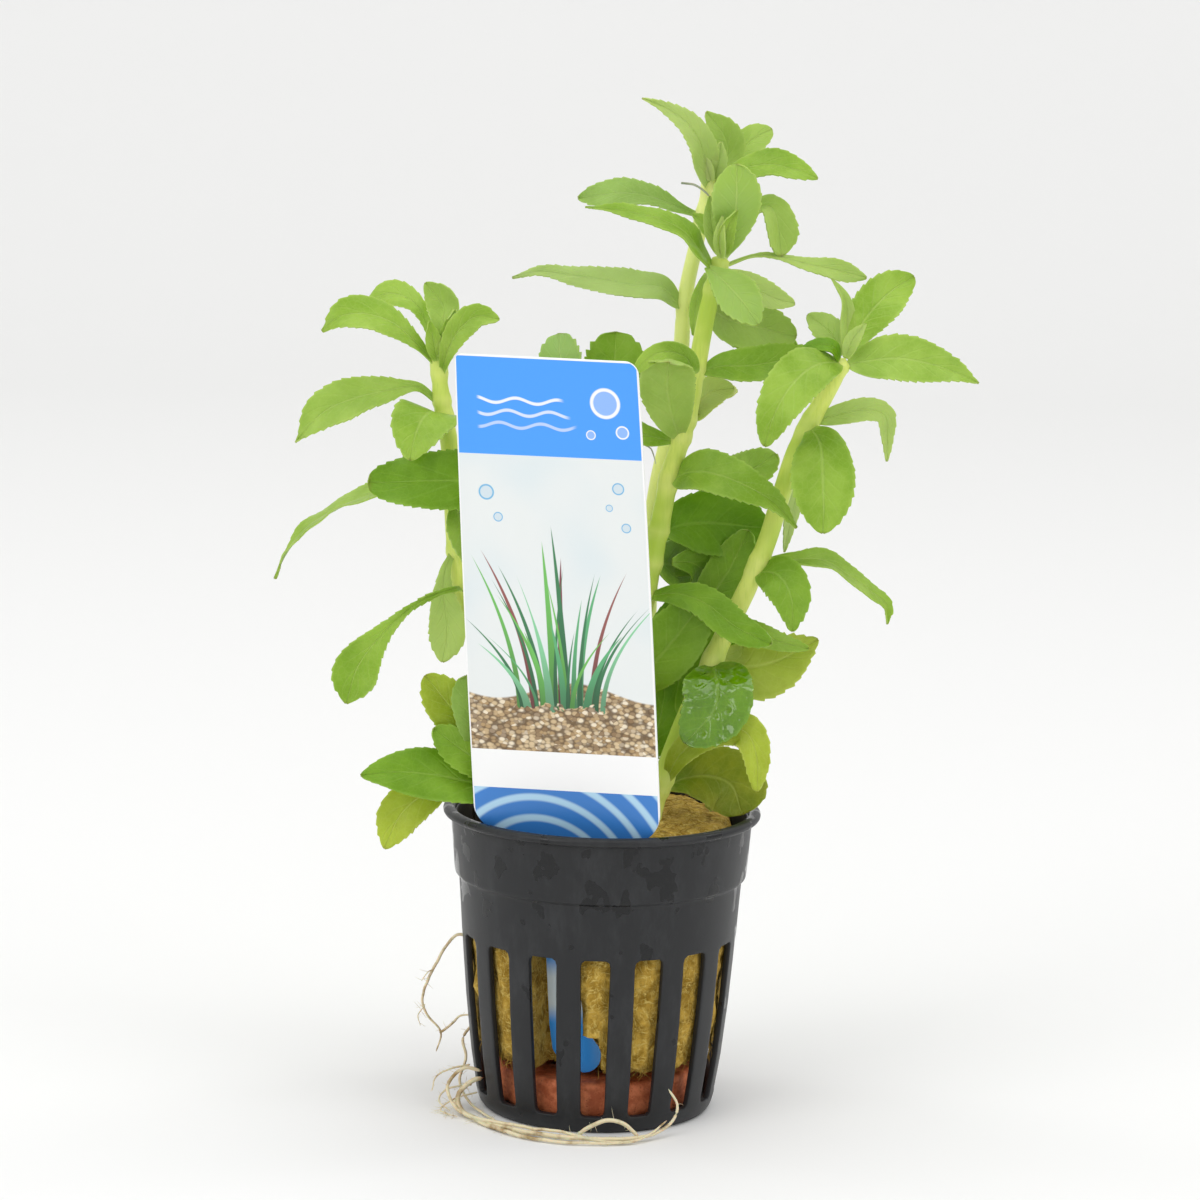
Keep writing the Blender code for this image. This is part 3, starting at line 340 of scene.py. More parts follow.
         widest=0.58, taper=0.6, tone=Tone.YELLOWED, ripple=0.5),
    Leaf("foot_olive", ((10, 54.4, -6), (13.6, 55.8, -4.6), (17.8, 56.3, -4.2), (21.6, 54.9, -4.4),
         (23.4, 50, -5)), 5.7, (0, -1, 0.5), widest=0.68, taper=0.45, fold=8, tone=Tone.OLIVE, teeth=0.7),
)}

# Leaves too small or too hidden for a solid of their own
SMALL_LEAVES = (
    Leaf("left_bud", ((-28, 125.5, -9.8), (-26.9, 129, -9.9), (-26.1, 133.3, -9.6)), 1.3, (0.3, -1, 0.1),
         fold=20, depth=-0.3),
    Leaf("left_bud_inner", ((-28.3, 125.4, -10.2), (-27.7, 128.6, -10.8), (-27.4, 131.6, -10.9)), 0.9,
         (-0.2, -1, 0.1), fold=24),
    Leaf("left_bud_front", ((-28.9, 124.8, -9.8), (-29.6, 128.4, -11.2), (-30.2, 131.2, -11.4)), 1.2),
    Leaf("left_middle_small", ((-25.6, 101, -10.6), (-24.5, 98, -11.6), (-23.5, 94.5, -12.2),
         (-22.5, 90, -12.4)), 2.5, (0.2, -1, 0.2), widest=0.45, tone=Tone.DEEP, depth=-0.1),
    Leaf("left_foot_olive", ((-17.6, 56.6, -9), (-21, 58.2, -12.4), (-24.6, 60.6, -13.4),
         (-28.4, 63.4, -13.2)), 3.2, widest=0.56, taper=0.6, tone=Tone.DEEP, depth=0.6),
    Leaf("left_foot_back", ((-20.4, 59, -11.4), (-21.6, 63.6, -13), (-22.4, 68, -13.4), (-23.2, 72.4, -13.2)),
         2.9, (0.2, -1, 0.1), widest=0.66, taper=0.45, fold=6, tone=Tone.PALE, depth=0.3),
    Leaf("centre_inner_left", ((16.8, 143.5, -2), (15.6, 147.5, -3), (15, 152.8, -3.5)), 1.3, fold=20,
         tone=Tone.DEEP, depth=-0.35),
    Leaf("centre_inner_right", ((17.6, 143, -3), (17.9, 147, -5.2), (19.5, 150.6, -6.6)), 1.4, (0.3, -1, 0.1),
         fold=24),
    Leaf("centre_inner_middle", ((17.2, 142.8, -3.4), (16.9, 146, -5.4), (17.2, 149.6, -6.4)), 0.9,
         (-0.2, -1, 0.1), fold=28, depth=-0.42),
    Leaf("centre_curled_rim", ((13.2, 123.6, -5), (12.1, 126.1, -6.6), (9.4, 127.2, -8.4), (6.4, 126.5, -10),
         (3.6, 123.8, -11)), 1.5, (0, -1, 0.15), taper=0.4, teeth=0.4),
    Leaf("centre_front_pale", ((15, 141.2, -3.4), (18, 138.8, -7), (21, 135.6, -10), (23.7, 132, -11.5)), 3.3,
         (0, 0.8, -0.6), (0, 0.9, 0.1), widest=0.62, taper=0.75, fold=-8, depth=0.12),
    Leaf("centre_right_low", ((17.6, 140.2, -1), (22, 138.2, -2), (26, 136.4, -2), (29.5, 135.6, -2)), 2.2,
         taper=0.7, tone=Tone.DEEP, depth=-0.55),
    Leaf("centre_right_shaded", ((15.6, 134.4, 1.5), (19.5, 132.4, 3.5), (24.5, 131.4, 4.5),
         (29.9, 130.2, 5)), 4, (0, -1, 0.25), taper=0.5, tone=Tone.DEEP, depth=-0.3),
    Leaf("back_small_dark", ((15.6, 146.2, 4.4), (14.2, 148.4, 3.8), (12.3, 149.8, 3.2)), 1.1, tone=Tone.DEEP,
         depth=-0.1),
    Leaf("back_inner", ((15.6, 155.6, 6.2), (16.4, 158.8, 4.8), (16.6, 161.6, 4.6)), 1.3, (0.2, -1, 0.1),
         fold=24, depth=-0.6),
    Leaf("back_inner_left", ((15.2, 155.4, 6), (14.4, 157.8, 4.4), (12.9, 159.8, 3.8)), 0.9, (-0.3, -1, 0.2),
         fold=24, depth=-1),
    Leaf("centre_back_left", ((15, 140, 1), (13.6, 136, 3), (12.9, 130, 3.5)), 1.1, (-0.6, -0.7, 0.2),
         tone=Tone.DEEP, depth=-0.1),
    Leaf("centre_middle_left", ((9.8, 112.5, -1), (6, 113.2, -3), (2, 114, -6), (-6, 112, -7)), 2.2,
         (0, -0.9, 0.5), tone=Tone.DEEP, depth=0.35),
    Leaf("centre_middle_edge", ((9.4, 117.2, -4), (7, 118.2, -3), (5, 119, -2)), 0.8, (0, -0.6, 0.8),
         teeth=0),
    Leaf("centre_low_hanging", ((10.6, 92.4, 0), (14.5, 92, 3), (18, 88, 5), (19.5, 83, 5)), 2.9,
         tone=Tone.DEEP, depth=0.58),
    Leaf("centre_shaded_high", ((9, 91, 3), (14, 94.6, 8), (19, 97.2, 11), (24.6, 99.4, 12)), 5, (0, -1, 0.2),
         widest=0.55, taper=0.5, tone=Tone.DEEP, depth=0.3),
    Leaf("centre_shaded_low", ((6.6, 72, 2), (10.5, 77.6, 5), (14.5, 83.6, 7), (18.4, 90, 8)), 5.4,
         (0, -1, 0.1), taper=0.45, tone=Tone.DEEP, depth=0.85),
    Leaf("right_shaded_low", ((13, 66, -3), (16, 71, 0), (19, 77, 2), (21.6, 84, 3)), 4.4, (0, -1, 0.1),
         taper=0.5, tone=Tone.DEEP, depth=0.75),
    Leaf("right_back_left", ((37, 126.6, -5), (36, 128.5, -6), (33.5, 129, -6), (30.6, 128.1, -7)), 1.3,
         (0, -0.6, 0.8), tone=Tone.DEEP),
    Leaf("right_small_left", ((37.8, 127.5, -2), (36, 130.3, 0), (34, 132.2, 1), (31.6, 133.9, 2)), 2.3,
         widest=0.55, taper=0.7, depth=-0.35),
    Leaf("right_inner", ((38.2, 127, -5), (39.2, 130, -6), (41.2, 132.6, -6)), 1.2, (-0.3, -1, 0.2), fold=24,
         depth=-0.5),
    Leaf("right_edge", ((38, 127.6, -1.5), (38.2, 132, -0.5), (37.6, 136.4, 0.6), (35.4, 139.8, 1)), 1.5,
         (0.7, -0.7, 0.1), widest=0.36, depth=-0.3, teeth=0),
    Leaf("right_low_band", ((19, 82.4, -6.4), (23.6, 81.2, -6.2), (28.6, 79.5, -5.6), (33.6, 78.4, -4)), 1.7,
         (0, -1, 0.4), widest=0.45, taper=0.6, depth=0.22),
    Leaf("right_shaded_high", ((15.2, 83.6, 1), (18, 88, 2), (20.6, 92.4, 3), (23, 98, 3.5)), 3.6,
         (0, -1, 0.1), taper=0.5, depth=0.48),
    Leaf("centre_middle_light", ((13.2, 116, 0.5), (14.6, 119.2, 2), (16.8, 121, 4), (19.9, 121.4, 5)), 2.7,
         (-0.2, -1, 0.3), taper=0.6, tone=Tone.YELLOWED, depth=-0.72),
    Leaf("right_low_back", ((31.4, 111.5, -1), (31.5, 108, 1), (30, 101, 3), (29, 94.5, 4)), 1.4,
         (0.4, -0.9, 0.2), tone=Tone.PALE, depth=-0.75),
)

# Withered threads, each a fine strand in real places
THREADS = (
    Strand(((10.4, 7.4, 154.4), (12.6, 6.6, 154.2), (14.6, 6.2, 153), (15.4, 6.8, 151.6)), 0.2),
    Strand(((5.2, -3.4, 112.4), (6.6, -4.2, 111.4), (7.4, -4.6, 109.2)), 0.12),
)
# The roots at the pot's left, and those round its foot
ROOT_LOOP = (
    Strand(((-20.9, -0.4, 27.5), (-24, -0.6, 28.2), (-27, -1, 23.8), (-29.2, -1.2, 18.5), (-28.8, -1.2, 15),
           (-26.2, -1, 11.6), (-26.9, -1.4, 8.2)), 0.26),
    Strand(((-26.4, -1, 11.4), (-24.4, -1.2, 13), (-23, -1.6, 14.6), (-21, -2.2, 15)), 0.22),
    Strand(((-27.6, -1.1, 22.4), (-28.6, -1.6, 22), (-29.6, -1.4, 20.4)), 0.1),
    Strand(((-28.9, -1.2, 16.4), (-30, -1.8, 14.6), (-29.6, -2, 12.8)), 0.1),
)
ROOT_FOOT = (
    Strand(((-18.6, -7.3, 5.6), (-20.6, -8.1, 5.2), (-22.8, -9, 3), (-22, -11, 0.9), (-19.6, -14.6, 0.75),
           (-15.8, -18.6, 0.75), (-10.5, -22.2, 0.8), (-4, -24.4, 0.8), (3.5, -24.6, 0.8), (9, -22.5, 0.9),
           (12.6, -19.3, 2.2), (13.6, -18.6, 5), (12, -19, 7.9)), 0.42),
    Strand(((-18.9, -6.9, 6.6), (-22, -7.4, 7.2), (-24.6, -8, 4.4), (-23.2, -10.4, 1.4), (-20.2, -14.2, 0.9),
           (-16.4, -18.2, 1.3), (-10, -21.9, 1.5), (-4.6, -23.8, 1.5), (1, -25.2, 0.6), (6.4, -24.8, 0.6),
           (9.4, -22.6, 1.4), (12, -19.8, 2.8)), 0.3),
    Strand(((-23.6, -3, 0.6), (-22.6, -8.5, 0.6), (-20, -14, 0.5), (-16, -19.4, 0.5), (-11, -23.7, 0.5),
           (-5, -25.9, 0.5), (2, -26.1, 0.5), (7, -24.9, 0.5)), 0.34),
    Strand(((-2.6, -22.4, 0.6), (-1, -22.3, 1.9), (2, -22.3, 3.2), (5, -22.2, 2.6), (7, -22, 0.6),
           (5.4, -23.4, 0.5), (1, -24, 0.5)), 0.36),
    Strand(((-20.6, -1, 13.4), (-22.4, -1.6, 10.8), (-21.8, -2.6, 7.6), (-22.8, -4, 4.2), (-21.2, -6.4, 1.4),
           (-18.8, -10.4, 0.6), (-15.4, -16.6, 0.6), (-9.6, -22.4, 0.6), (-3.4, -25, 0.6)), 0.24),
    Strand(((-21, -5, 7.2), (-24, -5.6, 6.6), (-26.6, -6.4, 5.4), (-27.2, -7.6, 3.2)), 0.16),
    Strand(((-20.6, -6, 4), (-24.6, -6.6, 3.4), (-26, -8, 1.6), (-24, -10, 0.5)), 0.16),
    Strand(((-19.6, -7, 3), (-23.4, -7.6, 2), (-25.6, -9.4, 0.5), (-22.6, -13, 0.4)), 0.14),
)


def srgb(red: float, green: float, blue: float) -> Colour:
    """The linear colour of a screen colour whose parts run from 0 to 255."""
    parts = [part / 255.0 for part in (red, green, blue)]
    return tuple(p / 12.92 if p <= 0.04045 else ((p + 0.055) / 1.055) ** 2.4 for p in parts)


def unit(vectors: Array) -> Array:
    """The vectors, each with a length of one."""
    return vectors / np.maximum(np.linalg.norm(vectors, axis=-1, keepdims=True), 1e-12)


def smooth_step(values: Array, low: float, high: float) -> Array:
    """Zero up to low, one from high on, and a soft rise between them."""
    t = np.clip((values - low) / (high - low), 0.0, 1.0)
    return t * t * (3.0 - 2.0 * t)


def bell(values: Array, width: float) -> Array:
    """One at zero, with a soft fall to both sides."""
    return np.exp(-(values / width) ** 2)


def ripples(places: Array, size: float, seed: float = 0.0) -> Array:
    """Smooth noise from -1 to 1 at these places, with features of this size in millimetres."""
    shift = Vector((seed, seed * 1.7, seed * 2.3))
    return np.array([noise.noise(Vector(p) / size + shift) for p in places])


def index_at(share: Array, last: int) -> Array:
    """The row nearest to this part of the way from row 0 to the last."""
    return np.rint(share * last).astype(int)


def lengths(line: Array) -> Array:
    """The length run at each point of a line."""
    return np.concatenate([[0.0], np.cumsum(np.linalg.norm(np.diff(line, axis=0), axis=1))])


def along_line(line: Array, run: Array, wanted: Array) -> Array:
    """The line's points at the wanted lengths, where run is the length at each given point."""
    return np.stack([np.interp(wanted, run, line[:, k]) for k in range(line.shape[1])], axis=-1)


def smooth_path(points: Points, count: int) -> Array:
    """Evenly spaced points on a smooth curve through the given ones.

    Args:
        points: the places that the curve passes.
        count: how many points to return.

    Returns:
        The points, one row each.
    """
    given = np.array([tuple(p) for p in points], dtype=float)
    ends = np.vstack([2 * given[0] - given[1], given, 2 * given[-1] - given[-2]])
    fine = []
    for i in range(1, len(ends) - 2):
        p0, p1, p2, p3 = ends[i - 1:i + 3]
        for s in np.linspace(0.0, 1.0, 12, endpoint=False):
            fine.append(0.5 * (2 * p1 + (p2 - p0) * s + (2 * p0 - 5 * p1 + 4 * p2 - p3) * s ** 2
                               + (3 * p1 - p0 - 3 * p2 + p3) * s ** 3))
    fine = np.array([*fine, given[-1]])
    run = lengths(fine)
    return along_line(fine, run, np.linspace(0.0, run[-1], count))


def select_only(obj: Obj) -> None:
    """Selects this object alone and makes it the active one.

    Args:
        obj: the object.
    """
    bpy.ops.object.select_all(action="DESELECT")
    obj.select_set(True)
    bpy.context.view_layer.objects.active = obj


def apply_modifier(obj: Obj, kind: str, **settings: object) -> None:
    """Adds a modifier of this kind with these settings and applies it.

    Args:
        obj: the piece.
        kind: the modifier's type.
        settings: values by its property names.
    """
    select_only(obj)
    modifier = obj.modifiers.new(kind.lower(), kind)
    for key, value in settings.items():
        setattr(modifier, key, value)
    bpy.ops.object.modifier_apply(modifier=modifier.name)


def smooth_shade(obj: Obj, degrees: float) -> None:
    """Shades the piece smooth, and leaves the edges that are sharper than this angle."""
    select_only(obj)
    bpy.ops.object.shade_smooth_by_angle(angle=math.radians(degrees))


def weld(obj: Obj, distance: float = 0.002) -> None:
    """Merges the points that meet, within a distance in millimetres, as seams and poles do.

    Args:
        obj: the piece.
        distance: how near points have to be.
    """
    select_only(obj)
    bpy.ops.object.mode_set(mode="EDIT")
    bpy.ops.mesh.select_all(action="SELECT")
    bpy.ops.mesh.remove_doubles(threshold=distance * MM)
    bpy.ops.object.mode_set(mode="OBJECT")


def positions(obj: Obj) -> Array:
    """The piece's points, one row each, in millimetres.

    Args:
        obj: the piece.

    Returns:
        The points.
    """
    values = np.empty(len(obj.data.vertices) * 3)
    obj.data.vertices.foreach_get("co", values)
    return values.reshape(-1, 3) / MM


def move_points(obj: Obj, places: Array) -> None:
    """Puts the piece's points at these places in millimetres."""
    obj.data.vertices.foreach_set("co", (places * MM).astype(np.float32).ravel())
    obj.data.update()


def write_values(obj: Obj, name: str, values: Array) -> None:
    """Writes a number for each point as an attribute that a material reads."""
    attribute = obj.data.attributes.new(name, "FLOAT", "POINT")
    attribute.data.foreach_set("value", values.astype(np.float32))


def rename(obj: Obj, name: str) -> None:
    """Gives the piece and its mesh this name."""
    obj.name = name
    obj.data.name = name


def lay_grid(name: str, columns: int, rows: int, place: Place, hole: Optional[Place] = None) -> Obj:
    """Adds a grid primitive, opens holes in it, and lays its points where place says.

    Args:
        name: the new piece's name.
        columns: faces across, where u runs from 0 to 1.
        rows: faces along, where v runs from 0 to 1.
        place: gives places in millimetres for the points' u and v.
        hole: tells for the faces' middle u and v which faces are left out.

    Returns:
        The new piece.
    """
    bpy.ops.object.select_all(action="DESELECT")
    bpy.ops.mesh.primitive_grid_add(x_subdivisions=columns, y_subdivisions=rows, size=1.0)
    obj = bpy.context.object
    rename(obj, name)
    if hole is not None:
        centres = np.array([face.center[:2] for face in obj.data.polygons]) + 0.5
        obj.data.polygons.foreach_set("select", hole(centres[:, 0], centres[:, 1]))
        bm = bmesh.new()
        bm.from_mesh(obj.data)
        bmesh.ops.delete(bm, geom=[face for face in bm.faces if face.select], context="FACES")
        bm.to_mesh(obj.data)
        bm.free()
    flat = positions(obj) * MM + 0.5
    move_points(obj, place(flat[:, 0], flat[:, 1]))
    return obj


def tube_places(middle: Array, side: Array, other: Array, angle: Array, reach: Array) -> Array:
    """Places round a middle line, on the circles that its two cross directions span."""
    return middle + side * (reach * np.cos(angle))[:, None] + other * (reach * np.sin(angle))[:, None]


def sweep(name: str, path: Array, radius: Place, sides: int) -> Obj:
    """Lays a tube round a path. Where the radius is zero at an end, the tube closes in a point.

    Args:
        name: the new piece's name.
        path: the middle line in millimetres, one point for each ring.
        radius: gives the radius for the points' angle and part of the length.
        sides: faces round the tube.

    Returns:
        The new piece.
    """
    along = unit(np.gradient(path, axis=0))
    side = np.zeros_like(path)
    start = np.cross(along[0], (0.0, 1.0, 0.2))
    for i, direction in enumerate(along):
        start = unit(start - direction * (start @ direction))
        side[i] = start
    other = np.cross(along, side)

    def place(u: Array, v: Array) -> Array:
        """The places for the points' u and v.

        Args:
            u: the points' place across, from 0 to 1.
            v: their place along, from 0 to 1.

        Returns:
            Their places in millimetres.
        """
        ring = index_at(v, len(path) - 1)
        angle = 2 * math.pi * u
        return tube_places(path[ring], side[ring], other[ring], angle, radius(angle, v))

    obj = lay_grid(name, sides, len(path) - 1, place)
    weld(obj)
    return obj


def lay_strands(name: str, paths: Array, radii: Array, sides: int) -> Obj:
    """Adds many thin closed strands as one piece.

    Args:
        name: the new piece's name.
        paths: the strands' middle lines in millimetres, all with as many points.
        radii: the radius at each of those points; both ends close in a point.
        sides: faces round a strand.

    Returns:
        The new piece.
    """
    along = unit(np.gradient(paths, axis=1))
    side = unit(np.cross(along, (0.31, 0.22, 0.92)))
    other = np.cross(along, side)
    radii = radii.copy()
    radii[:, (0, -1)] = 0.0
    group = sides + 1
    columns = len(paths) * group - 1
    rows = paths.shape[1] - 1

    def place(u: Array, v: Array) -> Array:
        """The places for the points' u and v.

        Args:
            u: the points' place across, from 0 to 1.
            v: their place along, from 0 to 1.

        Returns:
            Their places in millimetres.
        """
        column = index_at(u, columns)
        at = column // group, index_at(v, rows)
        angle = 2 * math.pi * (column % group) / sides
        return tube_places(paths[at], side[at], other[at], angle, radii[at])

    obj = lay_grid(name, columns, rows, place,
                   lambda u, v: np.floor(u * columns).astype(int) % group == sides)
    weld(obj)
    return obj


def join(pieces: Sequence[Obj], name: str) -> Obj:
    """Joins pieces into the first of them and names it.

    Args:
        pieces: the pieces.
        name: the joined piece's name.

    Returns:
        The joined piece.
    """
    select_only(pieces[0])
    for piece in pieces[1:]:
        piece.select_set(True)
    bpy.ops.object.join()
    rename(pieces[0], name)
    return pieces[0]


def dress(obj: Obj, material: Material, nodes: Sequence[str] = ()) -> None:
    """Gives a finished piece its material, its place in the frame, and the solids it stands for.

    Args:
        obj: the piece.
        material: its material.
        nodes: the CAD nodes that it stands for.
    """
    obj.data.materials.clear()
    obj.data.materials.append(material)
    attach(obj, BODY)
    if nodes:
        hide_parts(*nodes)
    log.info("%s: %d faces", obj.name, len(obj.data.polygons))


class Graph:
    """Adds nodes to one node tree and links them."""

    def __init__(self, tree: Tree) -> None:
        """Keeps the tree that the nodes go in."""
        self.tree = tree

    def put(self, kind: str, inputs: Optional[dict] = None, **settings: object) -> Node:
        """Adds a node.

        Args:
            kind: the node's type.
            inputs: plain values or sockets by the input's name or number.
            settings: values by the node's property names.

        Returns:
            The node.
        """
        node = self.tree.nodes.new(kind)
        for key, value in settings.items():
            setattr(node, key, value)
        for key, value in (inputs or {}).items():
            self.feed(node.inputs[key], value)
        return node

    def feed(self, socket: Socket, value: object) -> None:
        """Links a socket to an input, or sets the input to a plain value.

        Args:
            socket: the input.
            value: a socket or a plain value.
        """
        if isinstance(value, Socket):
            self.tree.links.new(value, socket)
        else:
            socket.default_value = value

    def math(self, operation: str, *values: object, clamp: bool = False) -> Socket:
        """The result of a Math node on plain values or sockets."""
        node = self.put("ShaderNodeMath", dict(enumerate(values)), operation=operation, use_clamp=clamp)
        return node.outputs[0]

    def times(self, first: object, second: object, clamp: bool = False) -> Socket:
        """The product of two values."""
        return self.math("MULTIPLY", first, second, clamp=clamp)

    def line(self, value: object, slope: object, start: object) -> Socket:
        """The value times slope, plus start."""
        return self.math("MULTIPLY_ADD", value, slope, start)

    def gap(self, first: object, second: object) -> Socket:
        """How far two values lie apart."""
        return self.math("ABSOLUTE", self.math("SUBTRACT", first, second))

    def length(self, x: Socket, y: Socket) -> Socket:
        """The length of the flat vector (x, y)."""
        return self.math("SQRT", self.math("ADD", self.times(x, x), self.times(y, y)))

    def mix(self, factor: object, first: object, second: object) -> Socket:
        """The mix of two colours."""
        pair = [(*c, 1.0) if isinstance(c, tuple) else c for c in (first, second)]
        return self.put("ShaderNodeMix", {0: factor, 6: pair[0], 7: pair[1]}, data_type="RGBA").outputs[2]

    def over(self, colour: object, mask: object, share: float, other: object) -> Socket:
        """The colour with this share of another one laid over it where the mask is one."""
        return self.mix(self.times(mask, share), colour, other)

    def rise(self, value: object, low: float, high: float) -> Socket:
        """A soft step from 0 at low to 1 at high; low may be the greater one."""
        return self.put("ShaderNodeMapRange", {0: value, 1: low, 2: high, 3: 0.0, 4: 1.0},
                        interpolation_type="SMOOTHSTEP").outputs[0]

    def noise(self, place: object, scale: float, detail: float = 2.0, rough: float = 0.5) -> Socket:
        """Smooth noise from 0 to 1 with this many features a unit."""
        inputs = {"Vector": place, "Scale": scale, "Detail": detail, "Roughness": rough}
        return self.put("ShaderNodeTexNoise", inputs).outputs["Fac"]

    def cells(self, place: object, scale: float, feature: str = "F1") -> Sequence[Socket]:
        """The outputs of a cell pattern with this many cells a unit."""
        return self.put("ShaderNodeTexVoronoi", {"Vector": place, "Scale": scale}, feature=feature).outputs

    def stretched(self, place: object, scale: Sequence[float]) -> Socket:
        """The place with each axis scaled."""
        return self.put("ShaderNodeMapping", {"Vector": place, "Scale": scale}).outputs[0]

    def split(self, vector: object) -> Sequence[Socket]:
        """The three parts of a vector."""
        return self.put("ShaderNodeSeparateXYZ", {0: vector}).outputs

    def objects(self) -> Socket:
        """The place in the object's own metres."""
        return self.put("ShaderNodeTexCoord").outputs["Object"]

    def value(self, name: str) -> Socket:
        """A number written on the piece's points."""
        return self.put("ShaderNodeAttribute", attribute_name=name).outputs["Fac"]


def node_group(name: str, inputs: Sequence[str], outputs: Sequence[str],
               fill: Callable[[Graph, Sequence[Socket]], Sequence[Socket]]) -> Tree:
    """Makes a shader node group once, and returns it.

    Args:
        name: the group's name.
        inputs: the names of its inputs, numbers all but Place.
        outputs: the names of its outputs, all numbers.
        fill: adds the nodes between its inputs and its outputs, and returns the outputs' values.

    Returns:
        The group.
    """
    if name in bpy.data.node_groups:
        return bpy.data.node_groups[name]
    tree = bpy.data.node_groups.new(name, "ShaderNodeTree")
    for kind, labels in (("INPUT", inputs), ("OUTPUT", outputs)):
        for label in labels:
            socket_type = "NodeSocketVector" if label == "Place" else "NodeSocketFloat"
            tree.interface.new_socket(label, in_out=kind, socket_type=socket_type)
    graph = Graph(tree)
    start, end = graph.put("NodeGroupInput"), graph.put("NodeGroupOutput")
    for label, value in zip(outputs, fill(graph, start.outputs)):
        graph.feed(end.inputs[label], value)
    return tree


def new_material(name: str, **plain: object) -> tuple[Material, Graph, Node]:
    """Makes a material with a Principled shader.

    Args:
        name: the material's name.
        plain: values for the shader's sockets, with _ for a space in a socket's name.

    Returns:
        The material, its graph and its shader.
    """
    material = bpy.data.materials.new(name)
    material.use_nodes = True
    shader = material.node_tree.nodes["Principled BSDF"]
    for key, value in plain.items():
        shader.inputs[key.replace("_", " ")].default_value = value
    return material, Graph(material.node_tree), shader


def bump(graph: Graph, shader: Node, height: object, distance: float, strength: float) -> None:
    """Gives the shader a relief of this height map, whose full range is this deep in millimetres."""
    node = graph.put("ShaderNodeBump", {"Height": height, "Distance": distance * MM, "Strength": strength})
    graph.feed(shader.inputs["Normal"], node.outputs[0])


def vein_group() -> Tree:
    """Masks for a blade's midrib, side veins and margin from its UV map.

    Returns:
        The group.
    """
    def fill(graph: Graph, start: Sequence[Socket]) -> Sequence[Socket]:
        """Adds the group's nodes and returns its outputs' values.

        Args:
            graph: the group's graph.
            start: its inputs.

        Returns:
            The outputs' values.
        """
        split = graph.split(start["Place"])
        along = split[1]
        across = graph.math("ABSOLUTE", graph.line(split[0], 2.0, -1.0))
        width = graph.line(along, -0.075, 0.115)
        midrib = graph.rise(graph.math("DIVIDE", across, width), 1.0, 0.15)
        slant = graph.times(graph.math("POWER", across, VEIN_CURVE), VEIN_SLANT)
        phase = graph.math("SUBTRACT", graph.times(along, VEIN_COUNT), slant)
        line = graph.gap(graph.math("FRACT", phase), 0.5)
        side = graph.times(graph.rise(line, 0.13, 0.0), graph.rise(across, 1.0, 0.35))
        return midrib, side, graph.rise(across, 0.86, 1.0), along

    return node_group("blade_veins", ("Place",), ("Midrib", "Side", "Margin", "Along"), fill)


def mottle_group() -> Tree:
    """Broad and fine mottling of living tissue, and its net of cells, from the object's place.

    Returns:
        The group.
    """
    def fill(graph: Graph, start: Sequence[Socket]) -> Sequence[Socket]:
        """Adds the group's nodes and returns its outputs' values.

        Args:
            graph: the group's graph.
            start: its inputs.

        Returns:
            The outputs' values.
        """
        place = start["Place"]
        broad = graph.rise(graph.noise(place, 150.0, 3.0, 0.55), 0.3, 0.7)
        fine = graph.noise(place, 1400.0, 2.0, 0.6)
        cells = graph.cells(place, 1100.0, "DISTANCE_TO_EDGE")
        return broad, fine, graph.rise(cells[0], 0.12, 0.0)

    return node_group("tissue_mottle", ("Place",), ("Broad", "Fine", "Net"), fill)


